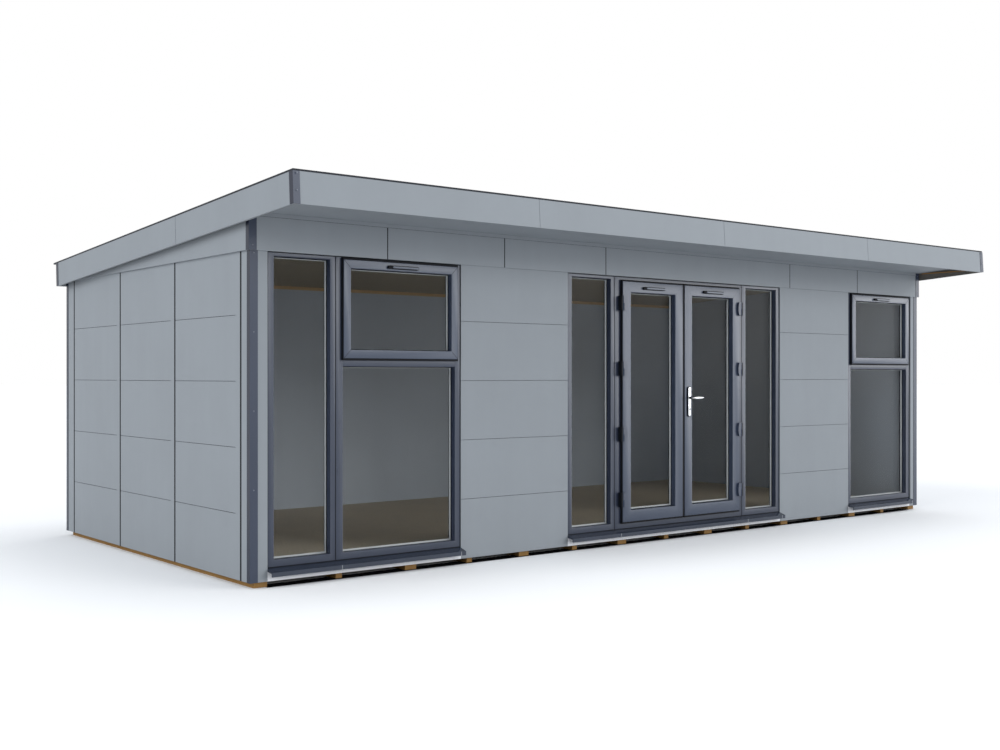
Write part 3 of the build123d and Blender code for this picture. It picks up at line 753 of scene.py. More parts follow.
class POD_PG_sizes(bpy.types.PropertyGroup):
    """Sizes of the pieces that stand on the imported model."""

    edge_radius: length("Frame edge", "Radius of the frames' and sashes' front edges", 0.0025)
    mitre_width: length("Mitre line", "Width of the line on each mitre of a sash", 0.0026)
    leaf_mitre_width: length("Leaf mitre line", "Width of the line on each mitre of a door leaf", 0.0004)
    gasket_width: length("Gasket", "How far the glazing gasket reaches over the glass", 0.005)
    bottom_gasket_width: length("Bottom gasket", "How far it reaches up a fixed light's glass", 0.001)
    gasket_depth: length("Gasket depth", "How far the glazing gasket stands in front of the glass", 0.002)
    spacer_width: length("Bottom spacer", "Width of the spacer bar at a sealed unit's bottom", 0.0095)
    spacer_side_width: length("Side spacer", "Width of the spacer bar at its sides", 0.0042)
    spacer_top_width: length("Top spacer", "Width of the spacer bar at its top", 0.004)
    spacer_depth: length("Spacer depth", "Depth of the spacer bar's slope", 0.014)
    seal_reach: length("Seal reach", "How far the weather seal shows beside a sash or a door leaf", 0.0045)
    seal_rise: length("Seal rise", "How far it shows above and below them", 0.013)
    seal_setback: length("Seal setback", "How far the weather seal starts behind the sash's face", 0.004)
    coupling_width: length("Coupling line", "Width of the dark line between coupled frames", 0.006)
    rim_width: length("Frame rim", "Width of the dark seal round each unit's frame", 0.006)
    sill_seal_height: length("Sill seal", "Height of the dark seal between a frame and its sill", 0.006)
    clip_width: length("Sill clip", "Width of the pressed lines across the sills' front edges", 0.004)
    joint_lip: length("Joint lip", "How far the wall joints' seals lap over the panels on each side", 0.0035)
    joint_seal_setback: length("Joint seal", "How far a joint's seal lies behind the panels' face", 0.0006)
    # the dark line in each course groove is painted shade
    course_line_width: length("Course line", "Width of the line in a course groove", 0.0015)
    # the black left end of a vent that the cap leaves bare is painted shade
    vent_cap_offset: length("Vent cap", "How far a trickle vent's cap starts from its left end", 0.03)
    screw_radius: length("Screw head", "Radius of the screw heads in the trims", 0.005)
    screw_spacing: length("Screw spacing", "Distance between screws up the wall trims", 0.49)
    fascia_screw_spacing: length("Fascia screw spacing", "Distance between screws on the fascia trims", 0.1)
    # the dark share of a handle plate is partly a painted dark reflection on its flank
    plate_base_share: number("Plate base", "Share of a handle plate's depth that is dark", 0.75, 0.0, 1.0)
    # a dark strip under the soffit's trim: painted shadow of the gap there
    soffit_line_height: length("Soffit line", "Height of the dark seal under the soffit's trim", 0.001)
    bead_size: length("Eave bead", "Height and depth of the timber bead under the soffit", 0.009)
    membrane_lap: length("Membrane width", "Width of one roof sheet between its welded laps", 1.4)
    glass_bend: number("Glass gloss", "Refractive index that sets how the glass mirrors", 1.045, 1.0, 2.0)
    round_steps: IntProperty(
        name="Rounding", description="Points in each rounded edge", default=4, min=2, max=12
    )


class POD_PG_colours(bpy.types.PropertyGroup):
    """Colours of the pod's finishes."""

    cladding: colour("Cladding", "Wall boards, bands, fascias and soffit", (0.285, 0.314, 0.342))
    lining: colour("Lining", "Inner faces of the walls", (0.54, 0.58, 0.645))
    raw_board: colour("Raw board", "Unpainted inner face of the side fascias", (0.16, 0.15, 0.13))
    base_strip: colour("Base strip", "Pale strip under the frames", (0.88, 0.9, 0.93))
    # the corner trims' side legs are painted darker and their front legs lighter: painted shade and light on
    # one paint
    trim: colour("Corner trims", "Side legs of the corner trims", (0.003, 0.008, 0.026))
    trim_face: colour("Trim faces", "Front legs of the corner trims", (0.041, 0.054, 0.087))
    roof_trim: colour("Roof trim", "Thin trim round the roof", (0.018, 0.021, 0.028))
    sill: colour("Sills", "Metal sills", (0.022, 0.03, 0.05))
    # the sill's front edge is painted lighter than its top as painted light
    sill_nose: colour("Sill noses", "Front edges of the sills", (0.036, 0.046, 0.07))
    frame: colour("Frames", "Window and door frames", (0.026, 0.035, 0.063))
    leaf: colour("Sashes", "Vent sashes and door leaves", (0.044, 0.059, 0.097))
    # near-black hinge colour: partly the hinges' dark paint, partly painted shade
    hinge: colour("Hinges", "Hinge brackets and pins", (0.008, 0.01, 0.014))
    timber_dark: colour("Timber, dark", "Dark grain of the bearers", (0.2, 0.1, 0.03))
    timber_light: colour("Timber, light", "Pale grain of the bearers", (0.45, 0.26, 0.08))
    plate_dark: colour("Plate, dark", "Dark grain of the planed wall plate", (0.5, 0.33, 0.17))
    plate_light: colour("Plate, light", "Pale grain of the planed wall plate", (0.75, 0.55, 0.33))
    floor: colour("Floor board", "Pressed board of the floor", (0.56, 0.475, 0.36))
    ceiling: colour("Ceiling board", "Underside of the roof", (0.36, 0.31, 0.235))
    membrane: colour("Membrane", "Rubber sheet on the roof", (0.05, 0.052, 0.056))
    rubber: colour("Rubber", "Gaskets and seals", (0.008, 0.009, 0.012))
    spacer: colour("Spacer", "Spacer bars in the sealed units", (0.52, 0.54, 0.55))
    screw: colour("Screws", "Lock cylinders and sill clips", (0.3, 0.31, 0.33))
    trim_screw: colour("Trim screws", "Painted screw heads in the trims", (0.13, 0.15, 0.19))
    chrome: colour("Handle", "Bright metal of the handle", (0.9, 0.91, 0.93))
    glass: colour("Glass", "Tint of the glass", (0.97, 0.98, 0.98))
    stage: colour("Stage", "What the floor round the pod gives back to it", (0.63, 0.63, 0.64))
    # painted shadow on the floor under the pod
    ground: colour("Ground", "The shaded ground under the pod", (0.01, 0.01, 0.012))


# ---- Pieces -----------------------------------------------------------------------------------------


class PodOperator(bpy.types.Operator):
    """Base of the pod's operators."""

    bl_options = {"REGISTER", "UNDO"}


class POD_OT_cladding(PodOperator):
    """Finish the wall panels, bands, fascias, soffit, trims, bearers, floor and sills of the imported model"""

    bl_idname = "pod.cladding"
    bl_label = "Cladding and trims"

    def execute(self, context):
        dress("wall_board", "left_wall", "right_wall", "rear_wall", "front_wall_left", "front_wall_right")
        dress("wall_board", "front_header", "left_gable", "right_gable")
        dress("cladding", "soffit_trim", "front_soffit")
        dress("cladding", "front_fascia", "rear_fascia")
        dress("side_fascia_board", "left_fascia", "right_fascia")
        dress("dark_trim", "wall_corner_trims", "header_corner_trims", "fascia_corner_trims")
        dress("roof_trim", "roof_edge_trim")
        dress("pale_strip", "base_rails")
        dress("sill_metal", "sills")
        dress("timber", "floor_bearers")
        dress("plate_timber", "rear_wall_plate")
        dress("floor_board", "floor_panel")
        dress("ceiling_board", "roof_panel")
        dress("hinge_paint", "frame_hinges")
        dress("leaf_paint", "left_leaf_hinges", "right_leaf_hinges")
        return {"FINISHED"}


# Boards with the axis and the side that each faces, and the depths of the grooves cut in them
WALLS = (
    ("left_wall", 0, -1), ("right_wall", 0, 1), ("rear_wall", 1, 1),
    ("front_wall_left", 1, -1), ("front_wall_right", 1, -1),
)
FASCIAS = (("front_fascia", 1, -1), ("rear_fascia", 1, 1), ("left_fascia", 0, -1), ("right_fascia", 0, 1))
LIPPED = ("left_wall", "right_wall", "rear_wall")
PANEL_JOINT, HEADER_JOINT, COURSE_GROOVE = 0.006, 0.004, 0.002
WIDEST_GROOVE = 0.02
THINNEST_SEAL = 0.0006
LIP_RISE = 0.0008


class POD_OT_joints(PodOperator):
    """Fill the joints between the wall panels, bands and fascia boards with dark sealing strips, and lay a
    thin dark line in each course groove as painted shade
    """

    bl_idname = "pod.joints"
    bl_label = "Panel joints"

    def execute(self, context):
        sizes = context.scene.pod_sizes
        strips = []
        grooved = [(*wall, PANEL_JOINT) for wall in WALLS] + [("front_header", 1, -1, HEADER_JOINT)]
        grooved += [(*board, COURSE_GROOVE) for board in WALLS + FASCIAS]
        for node, axis, side, depth in grooved:
            board_low, board_high = node_box(node)
            face = board_high[axis] if side > 0 else board_low[axis]
            floor = face - side * depth
            for low, high in solid_boxes(node, axis, floor):
                size = high - low
                across = 1 - axis if size[1 - axis] < size[2] else 2
                if size[across] > WIDEST_GROOVE:
                    continue
                # painted shade: a course groove gets only a thin dark line along its middle
                if depth == COURSE_GROOVE and across == 2:
                    middle, half = (low[2] + high[2]) / 2, sizes.course_line_width / 2
                    low[2], high[2] = middle - half, middle + half
                top = floor + side * max(THINNEST_SEAL, depth - sizes.joint_seal_setback)
                low[axis], high[axis] = sorted((floor + side * HAIR, top))
                strips.append(slab(low, high))
                if depth == PANEL_JOINT and across != 2 and node in LIPPED:
                    low[across] -= sizes.joint_lip
                    high[across] += sizes.joint_lip
                    low[axis], high[axis] = sorted((face + side * HAIR, face + side * LIP_RISE))
                    strips.append(slab(low, high))
        make_piece("joint_seals", strips, "rubber", "building")
        return {"FINISHED"}


def foremost(rings):
    """The ring that stands furthest forward."""
    return min(rings, key=lambda found: found[0][1])


def bars_shapes(node, radius, steps):
    """Every ring of a node, the foremost ones rounded and any behind them square, and their places."""
    rings = mitred_rings(node)
    front = foremost(rings)[0][1]
    shapes = []
    for low, high, widths in rings:
        rounded = abs(low[1] - front) < HAIR
        section = bar_section(low[1], high[1], radius, steps) if rounded else flat_section(low[1], high[1])
        shapes.append(ring(low, high, widths, section))
    return shapes, rings


def is_transom(low, high, rings):
    """Whether a box is a rail that lies inside one of the rings, well clear of its bars."""
    beside, above = 0.01, 0.1
    inside = any(
        low[0] > outer_low[0] + beside and high[0] < outer_high[0] - beside
        and low[2] > outer_low[2] + above and high[2] < outer_high[2] - above
        for outer_low, outer_high, widths in rings
    )
    return inside and high[0] - low[0] > high[2] - low[2]


class POD_OT_frames(PodOperator):
    """Replace the frames of the windows and doors with mitred profiles that have rounded edges"""

    bl_idname = "pod.frames"
    bl_label = "Window and door frames"

    def execute(self, context):
        sizes = context.scene.pod_sizes
        for node in ("left_unit_frame", "right_unit_frame", "door_unit_frame"):
            shapes, rings = bars_shapes(node, sizes.edge_radius, sizes.round_steps)
            shapes += [
                slab(low, high, sizes.edge_radius, sizes.round_steps)
                for low, high in solid_boxes(node) if is_transom(low, high, rings)
            ]
            piece = make_piece(node + "_profiles", shapes, "frame_foil", "building")
            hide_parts(node)
        return {"FINISHED"}


SASHES = (
    ("left_vent_sash", "building"),
    ("right_vent_sash", "building"),
    ("left_leaf_frame", "left_leaf"),
    ("right_leaf_frame", "right_leaf"),
)


class POD_OT_sashes(PodOperator):
    """Replace the vent sashes and the leaves' frames with rounded mitred profiles, and mark their mitres"""

    bl_idname = "pod.sashes"
    bl_label = "Sashes and door leaves"

    def execute(self, context):
        sizes = context.scene.pod_sizes
        for node, body in SASHES:
            shapes, rings = bars_shapes(node, sizes.edge_radius, sizes.round_steps)
            if node == "left_leaf_frame":
                shapes.append(slab(*meeting_strip(node)))
            piece = make_piece(node + "_profiles", shapes, "leaf_foil", body)
            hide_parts(node)
            line = sizes.mitre_width if body == "building" else sizes.leaf_mitre_width
            make_piece(node + "_mitres", mitre_lines(*foremost(rings), line), "rubber", body)
        return {"FINISHED"}


def meeting_strip(node):
    """The narrowest solid of a leaf: the strip on its meeting edge."""
    boxes = solid_boxes(node)
    return boxes[np.argmin(boxes[:, 1, 0] - boxes[:, 0, 0])]


GLASS = (
    ("left_unit_glass", "building"),
    ("right_unit_glass", "building"),
    ("sidelight_glass", "building"),
    ("left_leaf_glass", "left_leaf"),
    ("right_leaf_glass", "right_leaf"),
)
# A pane that stands more than this in front of the fixed ones is in a sash or a leaf
SASH_STEP = 0.005
HIDDEN_BAR = 0.001
SPACER_SETBACK = 0.001
REAR_GASKET_DEPTH = 0.003


class POD_OT_glazing(PodOperator):
    """Finish the sealed units and add their spacer bars and the black gaskets round them"""

    bl_idname = "pod.glazing"
    bl_label = "Glazing"

    def execute(self, context):
        sizes = context.scene.pod_sizes
        fixed = node_box("sidelight_glass")[0][1]
        lap, side_bar = sizes.gasket_width, sizes.spacer_side_width
        for node, body in GLASS:
            dress("glass", node)
            spacers, gaskets = [], []
            for low, high in solid_boxes(node):
                moving = low[1] < fixed - SASH_STEP
                laps = np.array([lap, lap, lap if moving else sizes.bottom_gasket_width, lap])
                sill_bar = HIDDEN_BAR if moving and body == "building" else sizes.spacer_width
                bars = (side_bar, side_bar, sill_bar, sizes.spacer_top_width)
                front = low[1] + SPACER_SETBACK
                rear = front + sizes.spacer_depth
                slope = ((0, 0, front), (1, 0, rear), (0, 0, rear))
                spacers.append(ring(low + (laps[0], 0, laps[2]), high - (laps[1], 0, laps[3]), bars, slope))
                front_gasket = flat_section(low[1] - sizes.gasket_depth, low[1] - SKIN)
                rear_gasket = flat_section(high[1] + SKIN, high[1] + REAR_GASKET_DEPTH)
                edge_gasket = flat_section(low[1] + LAP, high[1] - LAP)
                gaskets += [ring(low, high, laps, front_gasket), ring(low, high, laps, rear_gasket)]
                gaskets.append(ring(low + SKIN, high - SKIN, laps - 2 * SKIN, edge_gasket))
            make_piece(node + "_spacers", spacers, "spacer", body)
            make_piece(node + "_gaskets", gaskets, "rubber", body)
        return {"FINISHED"}


COUPLED = ("left_unit_frame", "door_unit_frame")
FACE_DEPTH = 0.001
SEAL_FACE = 0.0006
MEETING_REACH = 0.004
SEAL_RADIUS = 0.002
HIDDEN_RIM = 0.001


def face_strip(x, width, front, bottom, top):
    """An upright strip, centred at x, that is let into a front face and stands a little proud of it."""
    return slab((x - width / 2, front - LAP, bottom), (x + width / 2, front + FACE_DEPTH, top))


def sash_seal(node, sizes, frame_front):
    """The weather seal behind the edge of a sash or leaf, with the line down a leaf's meeting strip."""
    low, high, widths = foremost(mitred_rings(node))
    left = MEETING_REACH if node == "right_leaf_frame" else sizes.seal_reach
    right, rise = sizes.seal_reach, sizes.seal_rise
    section = bar_section(low[1] + sizes.seal_setback, frame_front - 2 * SKIN, SEAL_RADIUS, 3)
    strips = np.array([left, right, rise, rise]) + LAP
    shapes = [ring(low - (left, 0, rise), high + (right, 0, rise), strips, section)]
    if node == "left_leaf_frame":
        strip_low, strip_high = meeting_strip(node)
        face = strip_low[1]
        strip_low[1], strip_high[1] = face - SEAL_FACE, face - HAIR
        shapes.append(slab(strip_low, strip_high))
    return shapes


def coupling_lines(sizes):
    """The dark lines between coupled frames, and the places of their seams along X."""
    lines, seams = [], []
    for node in COUPLED:
        rings = sorted(mitred_rings(node), key=lambda found: found[0][0])
        for (low, high, widths), (next_low, next_high, next_widths) in zip(rings, rings[1:]):
            seams.append((high[0] + next_low[0]) / 2)
            lines.append(face_strip(seams[-1], sizes.coupling_width, low[1], low[2], high[2]))
    return lines, seams


def frame_rims(sizes, frame_front):
    """The dark seal round each unit's frame; its lower strip starts behind the sill."""
    sill_top = node_box("sills")[1][2]
    section = flat_section(frame_front - SEAL_FACE, frame_front + FACE_DEPTH)
    rims = []
    for node in (*COUPLED, "right_unit_frame"):
        low, high = node_box(node)
        side = sizes.rim_width if node in COUPLED else HIDDEN_RIM
        lower = max(0.0, sill_top - low[2]) + sizes.sill_seal_height
        rims.append(ring(low, high, (side, side, lower, sizes.rim_width), section))
    return rims


def sill_clips(sizes, seams):
    """The pressed lines across the sills' front edges: one near each right end and one beside each seam."""
    from_end, from_seam, margin = 0.04, 0.012, 0.001
    points = node_triangles("sills")[0]
    clips = []
    for low, high in solid_boxes("sills"):
        own = (points[:, 0] > low[0] - margin) & (points[:, 0] < high[0] + margin)
        nose = points[own & (points[:, 1] < low[1] + LAP), 2]
        places = [high[0] - from_end] + [seam + from_seam for seam in seams if low[0] < seam < high[0]]
        clips += [face_strip(x, sizes.clip_width, low[1], nose.min(), nose.max()) for x in places]
    return clips


def end_gap_filler(frame_front):
    """The dark filler in the narrow gap beside the right unit: partly a filler, partly painted shade in the
    gap.
    """
    near, far, front, rear = 0.0003, 0.0165, 0.006, 0.017
    low, high = node_box("right_unit_frame")
    return slab((high[0] + near, frame_front + front, low[2]), (high[0] + far, frame_front + rear, high[2]))


class POD_OT_seals(PodOperator):
    """Add weather seals, coupling lines, rims and sill clips, and the dark filler beside the right unit,
    partly painted shade in that gap
    """

    bl_idname = "pod.seals"
    bl_label = "Seals and couplings"

    def execute(self, context):
        sizes = context.scene.pod_sizes
        frame_front = node_box("left_unit_frame")[0][1]
        for node, body in SASHES:
            make_piece(node + "_seal", sash_seal(node, sizes, frame_front), "rubber", body)
        couplings, seams = coupling_lines(sizes)
        make_piece("coupling_lines", couplings, "rubber", "building")
        make_piece("frame_rims", frame_rims(sizes, frame_front), "rubber", "building")
        make_piece("sill_clips", sill_clips(sizes, seams), "screw", "building")
        make_piece("end_gap_filler", [end_gap_filler(frame_front)], "rubber", "building")
        return {"FINISHED"}


VENTS = (
    ("sash_trickle_vents", "building"),
    ("left_leaf_trickle_vent", "left_leaf"),
    ("right_leaf_trickle_vent", "right_leaf"),
)
# Steps of a vent's hood and cap: how far in from its cover's edge, at what share of its depth; the black hood
# at the edges and the left end is partly painted shade
VENT_HOOD = ((0.0015, 0.0), (0.0015, 0.72), (0.0025, 0.8), (0.004, 0.82))
VENT_CAP = ((0.006, 0.8), (0.006, 0.95), (0.0065, 0.99), (0.0074, 1.0), (0.009, 1.0))


def vent_shape(low, high, steps, left=0.0):
    """A round-ended cover built up forward from a box's back; left moves its left end in."""
    depth = high[1] - low[1]
    return lofted([round_ended(low, high, inset, high[1] - depth * share, left) for inset, share in steps])


class POD_OT_trickle_vents(PodOperator):
    """Replace the trickle vent covers with dark hoods under caps in the sash's finish; the hoods' black sides
    and left end, where the cap starts further in, are partly painted shade
    """

    bl_idname = "pod.trickle_vents"
    bl_label = "Trickle vents"

    def execute(self, context):
        offset = context.scene.pod_sizes.vent_cap_offset
        for node, body in VENTS:
            covers = solid_boxes(node)
            hoods = [vent_shape(low, high, VENT_HOOD) for low, high in covers]
            caps = [vent_shape(low, high, VENT_CAP, offset) for low, high in covers]
            piece = make_piece(node + "_hoods", hoods, "rubber", body, 30)
            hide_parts(node)
            make_piece(node + "_caps", caps, "leaf_foil", body, 30)
        return {"FINISHED"}


def screw_heads(low, high, levels, radius, height):
    """Screw heads at some levels up the middle of a trim's outer face, at the front or the rear."""
    side, face = (-1, low[1]) if low[1] < 0 else (1, high[1])
    return domes([((low[0] + high[0]) / 2, face, level) for level in levels], (0, side, 0), radius, height)


class POD_OT_screws(PodOperator):
    """Add the screw heads to the corner trims of the walls, the bands and the fascias"""

    bl_idname = "pod.screws"
    bl_label = "Trim screws"

    def execute(self, context):
        sizes = context.scene.pod_sizes
        radius, rise, fascia_rise = sizes.screw_radius, 0.002, 0.0003
        wall_top, wall_bottom, header_end, fascia_top, fascia_bottom = 0.016, 0.2, 0.03, 0.012, 0.01
        heads = []
        for low, high in solid_boxes("wall_corner_trims"):
            levels = np.arange(high[2] - wall_top, low[2] + wall_bottom, -sizes.screw_spacing)
            heads += screw_heads(low, high, levels, radius, rise)
        for low, high in solid_boxes("header_corner_trims"):
            heads += screw_heads(low, high, (low[2] + header_end, high[2] - header_end), radius, rise)
        for low, high in solid_boxes("fascia_corner_trims"):
            levels = np.arange(high[2] - fascia_top, low[2] + fascia_bottom, -sizes.fascia_screw_spacing)
            heads += screw_heads(low, high, levels[:2], radius, fascia_rise)
        make_piece("trim_screws", heads, "trim_screw", "building", 50)
        return {"FINISHED"}


# Handle profiles as (inset or radius, step outward) pairs, each from the face that its use names
COVER_EDGE = ((0.0042, -0.002), (0.005, -0.0006), (0.0065, 0.0), (0.009, SKIN))
CYLINDER = ((0.0085, -0.001), (0.0085, 0.0012), (0.0075, 0.002))
# the dark collar round the lever's neck is partly a painted shadow at the hub
COLLAR = ((0.0118, -0.001), (0.0118, 0.005), (0.0092, 0.0075), (0.0092, 0.02))
SPINDLE_END = ((0.006, -0.006), (0.005, -0.0022), (0.003, -0.0004))
SPINDLE_LAP = 0.002
BASE_INSET = 0.0006
CYLINDER_LEVEL = 0.062
KEYWAY_HALF_WIDTH, KEYWAY_HALF_HEIGHT, KEYWAY_RADIUS, KEYWAY_RISE = 0.0011, 0.0045, 0.001, 0.0024
HUB_IN, GRIP_BACK, GRIP_DEPTH, GRIP_END = 0.011, 0.008, 0.009, 0.001


def outward(low, high, leaf_face):
    """Which way along Y a fitting stands off the leaf, its root on the leaf and its outer face."""
    return (-1, high[1], low[1]) if low[1] < leaf_face else (1, low[1], high[1])


def stepped(profile, face, out):
    """A profile's pairs with each step outward from a face turned into a place along Y."""
    return [(size, face + out * step) for size, step in profile]


def plate_shapes(low, high, leaf_face, share):
    """A handle plate's base, its cover, its lock cylinder and its keyway; the dark base is partly a painted
    dark reflection on the plate's flank.
    """
    out, root, face = outward(low, high, leaf_face)
    middle = root + (face - root) * share
    base = [(0.0, root), (BASE_INSET, middle - out * SKIN)]
    cover = [(COVER_EDGE[0][0], middle)] + stepped(COVER_EDGE, face, out)
    top = face + out * SKIN
    x, z = (low[0] + high[0]) / 2, low[2] + CYLINDER_LEVEL
    wide, tall = KEYWAY_HALF_WIDTH, KEYWAY_HALF_HEIGHT
    slot = rounded_outline(x - wide, x + wide, z - tall, z + tall, KEYWAY_RADIUS, 3)
    return (
        lofted([round_ended(low, high, *step) for step in base]),
        lofted([round_ended(low, high, *step) for step in cover]),
        round_loft(x, z, stepped(CYLINDER, top, out)),
        lofted([upright(slot, top), upright(slot, top + out * KEYWAY_RISE)]),
    )


def grip(low, high, out, end):
    """A lever's bar: an oval with round ends that bows toward the leaf and is tallest past its neck.

    Its half height is that of the neck plus a half wave of sine along the bar, raised to a power, which
    sets in over the neck. Both ends close as quarter circles do, by the root of 1 minus a square.
    """
    neck_start, neck_share, tip_share, heel_share = 0.12, 0.22, 0.1, 0.06
    half_depth, bow, neck_rise, step_rise, wave_rise = 0.0055, 0.003, 0.0036, 0.0009, 0.0058
    wave_rate, wave_power, tip_least, heel_least = 1.1, 0.7, 0.02, 0.05
    along = np.linspace(0, 1, 24)
    start = low[0] + HUB_IN - GRIP_BACK
    reach = high[0] - GRIP_END - start
    neck = np.clip((along - neck_start) / neck_share, 0, 1)
    wave = np.sin(pi * np.clip(along * wave_rate, 0, 1)) ** wave_power
    rise = neck_rise + (step_rise + wave_rise * wave) * neck
    tip = np.clip((along - 1 + tip_share) / tip_share, 0, 1)
    heel = np.clip((heel_share - along) / heel_share, 0, 1)
    close = np.sqrt(np.clip(1 - tip**2, tip_least, 1)) * np.sqrt(np.clip(1 - heel**2, heel_least, 1))
    depth = end - out * (GRIP_DEPTH + bow * np.sin(pi * along) ** 2)
    centres = np.stack([start + reach * along, depth, np.full(len(along), (low[2] + high[2]) / 2)], axis=1)
    return swept_tube(centres, np.stack([half_depth * close, rise * close], axis=1))


class POD_OT_handle(PodOperator):
    """Replace the handle's plates and levers with covers, bases, collars, spindles, grips and locks; the dark
    bases and collars are partly painted shade and painted dark reflection
    """

    bl_idname = "pod.handle"
    bl_label = "Door handle"

    def execute(self, context):
        share = context.scene.pod_sizes.plate_base_share
        leaf_face = node_box("right_leaf_frame")[0][1]
        plates = solid_boxes("handle_plates")
        parts = [plate_shapes(low, high, leaf_face, share) for low, high in plates]
        bases, covers, cylinders, keyways = (list(group) for group in zip(*parts))
        piece = make_piece("handle_plate_covers", covers, "chrome", "right_leaf", 40)
        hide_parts("handle_plates")
        grips, spindles, collars = [], [], []
        for low, high in solid_boxes("handle_lever"):
            out, _, end = outward(low, high, leaf_face)
            x, z = low[0] + HUB_IN, (low[2] + high[2]) / 2
            plate_face = plates[:, 0, 1].min() if out < 0 else plates[:, 1, 1].max()
            collar = stepped(COLLAR, plate_face, out)
            foot = (SPINDLE_END[0][0], collar[-1][1] - out * SPINDLE_LAP)
            collars.append(round_loft(x, z, collar))
            spindles.append(round_loft(x, z, [foot] + stepped(SPINDLE_END, end, out)))
            grips.append(grip(low, high, out, end))
        piece = make_piece("handle_grips", grips, "chrome", "lever", 40)
        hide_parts("handle_lever")
        make_piece("handle_spindles", spindles, "chrome", "lever", 40)
        # dark plate bases and collars: partly painted dark reflection and painted shadow
        make_piece("handle_plate_bases", bases + collars, "rubber", "right_leaf", 40)
        make_piece("lock_cylinders", cylinders, "screw", "right_leaf")
        make_piece("lock_keyways", keyways, "rubber", "right_leaf")
        return {"FINISHED"}


class POD_OT_eaves(PodOperator):
    """Add the timber beads beside the soffit and a dark strip under its trim as painted shadow"""

    bl_idname = "pod.eaves"
    bl_label = "Eave beads"

    def execute(self, context):
        sizes = context.scene.pod_sizes
        front_gap, rear_gap, drop = 0.001, 0.02, 0.0003
        low, high = node_box("front_soffit")
        turn = np.linspace(0, pi / 2, 5)
        curve = -sizes.bead_size * np.stack([np.sin(turn), np.cos(turn)], axis=1)
        outline = np.concatenate([[[0.0, 0.0]], curve])
        beads = []
        for side, wall in ((-1, low[0]), (1, high[0])):
            section = np.stack([low[2] - drop + outline[:, 0], wall + side * outline[:, 1]], axis=1)
            beads.append(prism(section, low[1] + front_gap, high[1] - rear_gap, 1))
        make_piece("eave_beads", beads, "timber", "building", 50)
        # painted shadow: a thin dark strip along the soffit trim's lower edge
        low, high = node_box("soffit_trim")
        line_low = (low[0], low[1] + drop, low[2] - sizes.soffit_line_height)
        line = slab(line_low, (high[0], high[1] - SKIN, low[2] + LAP))
        make_piece("soffit_line", [line], "rubber", "building")
        return {"FINISHED"}


class POD_OT_roof(PodOperator):
    """Lay the rubber membrane with its welded laps on the roof, inside the edge trim"""

    bl_idname = "pod.roof"
    bl_label = "Roof membrane"

    def execute(self, context):
        sizes = context.scene.pod_sizes
        low, high = node_box("roof_panel")
        front, rear = top_surface("roof_panel")
        inset, sheet_top, lap_top, half_lap = 0.028, 0.004, 0.0065, 0.05
        left, right = low[0] + inset, high[0] - inset
        way = (rear - front) / np.linalg.norm(rear - front)
        normal = np.array([0.0, -way[2], way[1]])
        start, end = front + way * inset, rear - way * inset

        def band(near, far):
            """The outline of a layer between two heights over the roof panel, as (y, z) points."""
            corners = ((start, near), (end, near), (end, far), (start, far))
            return np.stack([place + normal * height for place, height in corners])[:, 1:]

        edges = np.linspace(left, right, int((right - left) / sizes.membrane_lap) + 2)
        shapes = [prism(band(LAP, sheet_top), left, right, 0)]
        lap = band(sheet_top, lap_top)
        shapes += [prism(lap, edge - half_lap, edge + half_lap, 0) for edge in edges[1:-1]]
        make_piece("roof_membrane", shapes, "membrane", "building")
        return {"FINISHED"}


def top_surface(node):
    """The front and the rear end of a sloping slab's top face, as points on its middle line."""
    rear_margin = 0.02
    points = node_triangles(node)[0]
    front = points[np.argmax(points[:, 2])]
    slope_ends = points[points[:, 1] > points[:, 1].max() - rear_margin]
    rear = slope_ends[np.argmax(slope_ends[:, 2])]
    return np.array([0.0, front[1], front[2]]), np.array([0.0, rear[1], rear[2]])


LAMPS = (
    ("top_light", "SUN", (0.35, -0.1, 1.0), 0.82, 40.0, 0.0),
    ("left_light", "SUN", (-0.85, 0.0, 0.52), 1.24, 40.0, 0.0),
    ("front_light", "AREA", (0.47, -0.88, 0.33), 9000.0, 34.0, 17.0),
    ("right_light", "AREA", (0.82, -0.57, 0.075), 6400.0, 46.0, 10.0),
)
LAMP_AIM = (0.5, -1.4, 1.2)
LAMP_DISTANCE = 60.0


def lamp(name, kind, way, strength, spread, height):
    """A lamp that shines from a direction: a sun of a spread in degrees, or a panel that wide and high."""
    data = bpy.data.lights.new(name, kind)
    data.energy = strength
    made = bpy.data.objects.new(name, data)
    if kind == "SUN":
        data.angle = radians(spread)
        made.visible_glossy = False
    else:
        data.shape = "RECTANGLE"
        data.size, data.size_y = spread, height
    way = np.array(way) / np.linalg.norm(way)
    made.location = tuple(np.array(LAMP_AIM) + LAMP_DISTANCE * way)
    made.rotation_euler = (float(np.arccos(way[2])), 0.0, float(np.arctan2(way[0], -way[1])))
    bpy.context.scene.collection.objects.link(made)


def make_camera(scene):
    """The view from the front left, at eye height."""
    left, ahead, height = 3.4281, 6.7997, 1.3218
    lowered, turned = 0.0233, 38.7133
    data = bpy.data.cameras.new("view")
    data.sensor_width = 36.0
    data.lens = 43.481
    data.shift_x = -0.00576
    data.shift_y = 0.00103
    data.clip_end = 400.0
    camera = bpy.data.objects.new("view", data)
    corner_x, corner_y = node_box("left_wall")[0][0], node_box("front_wall_left")[0][1]
    camera.location = (corner_x - left, corner_y - ahead, height)
    camera.rotation_euler = (radians(90 - lowered), 0.0, radians(-turned))
    scene.collection.objects.link(camera)
    scene.camera = camera


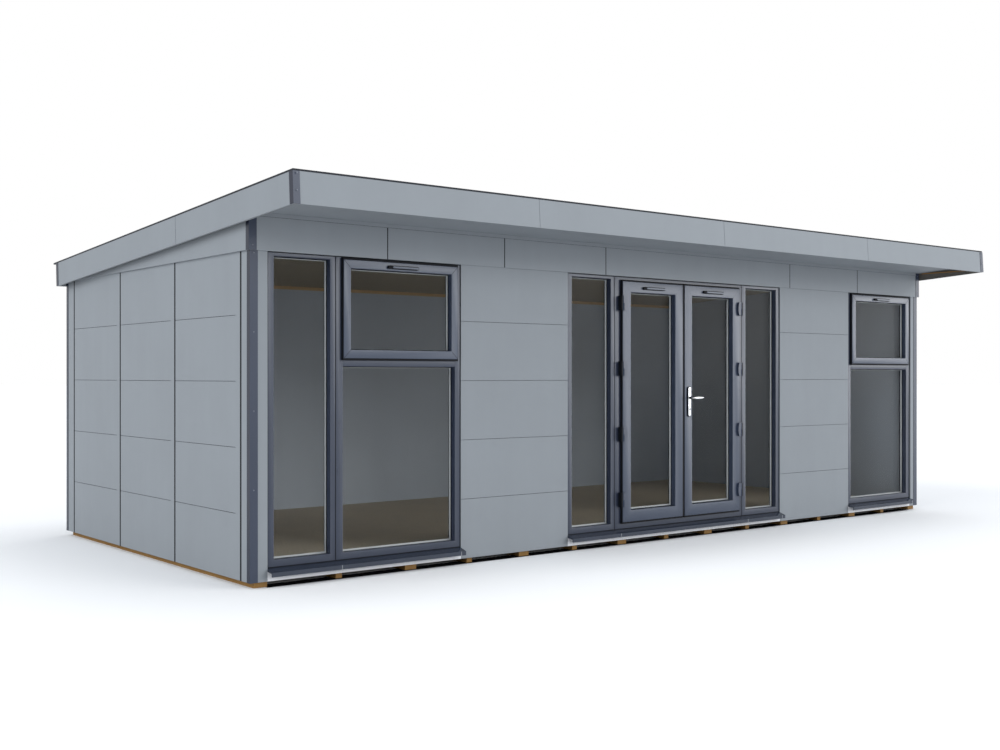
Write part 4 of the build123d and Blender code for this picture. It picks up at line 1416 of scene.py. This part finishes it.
def floor_finish(colours):
    """A floor that looks white, gives the pod the stage's softer light and has a painted shadow: it is dark
    under the pod.
    """
    material = bpy.data.materials.new("stage_floor")
    tree = Tree(material)
    low, high = node_box("base_rails")
    # painted shadow: within the base rails' footprint the floor takes the dark ground colour
    under = 1.0
    for axis in (0, 1):
        middle = (low[axis] + high[axis]) / 2
        under = (abs(tree.along(axis) - float(middle)) < float(high[axis] - middle)) * under
    tint = tree.mix(tree.plain_rays(), colours.stage, (0.97, 0.985, 1.0))
    tint = tree.mix(under, tint, colours.ground)
    shader = tree.add("ShaderNodeBsdfDiffuse", sockets={"Color": tint})
    tree.add("ShaderNodeOutputMaterial", sockets={"Surface": shader})
    return material


class POD_OT_stage(PodOperator):
    """Make the camera, the lights, the world and the pale floor"""

    bl_idname = "pod.stage"
    bl_label = "Stage"

    def execute(self, context):
        scene = context.scene
        make_camera(scene)
        reach, thickness = 150.0, 0.02
        ground = slab((-reach, -reach, -thickness), (reach, reach, -LAP))
        floor = make_object("stage_floor", [ground], floor_finish(scene.pod_colours))
        world = bpy.data.worlds.new("studio")
        scene.world = world
        tree = Tree(world)
        glow = tree.mix(tree.plain_rays(), (0.62, 0.64, 0.67), (1.0, 1.0, 1.0))
        back = tree.add("ShaderNodeBackground", sockets={"Color": glow, "Strength": 1.0})
        tree.add("ShaderNodeOutputWorld", sockets={"Surface": back})
        for settings in LAMPS:
            lamp(*settings)
        scene.view_settings.view_transform = "Standard"
        return {"FINISHED"}


class POD_PT_panel(bpy.types.Panel):
    """Sidebar panel that lists the pod's pieces and settings"""

    bl_idname = "POD_PT_panel"
    bl_label = "Garden office pod"
    bl_space_type = "VIEW_3D"
    bl_region_type = "UI"
    bl_category = "Pod"

    def draw(self, context):
        layout = self.layout
        for operator in OPERATORS:
            layout.operator(operator.bl_idname)
        for group in (context.scene.pod_sizes, context.scene.pod_colours):
            box = layout.box()
            for key in group.__annotations__:
                box.prop(group, key)


OPERATORS = (
    POD_OT_cladding,
    POD_OT_joints,
    POD_OT_frames,
    POD_OT_sashes,
    POD_OT_glazing,
    POD_OT_seals,
    POD_OT_trickle_vents,
    POD_OT_screws,
    POD_OT_handle,
    POD_OT_eaves,
    POD_OT_roof,
    POD_OT_stage,
)
CLASSES = (POD_PG_sizes, POD_PG_colours, *OPERATORS, POD_PT_panel)


def register():
    for entry in CLASSES:
        bpy.utils.register_class(entry)
    bpy.types.Scene.pod_sizes = PointerProperty(type=POD_PG_sizes)
    bpy.types.Scene.pod_colours = PointerProperty(type=POD_PG_colours)


def unregister():
    del bpy.types.Scene.pod_colours
    del bpy.types.Scene.pod_sizes
    for entry in reversed(CLASSES):
        bpy.utils.unregister_class(entry)


def main():
    register()
    for operator in OPERATORS:
        group, name = operator.bl_idname.split(".")
        getattr(getattr(bpy.ops, group), name)()


if __name__ == "__main__":
    main()
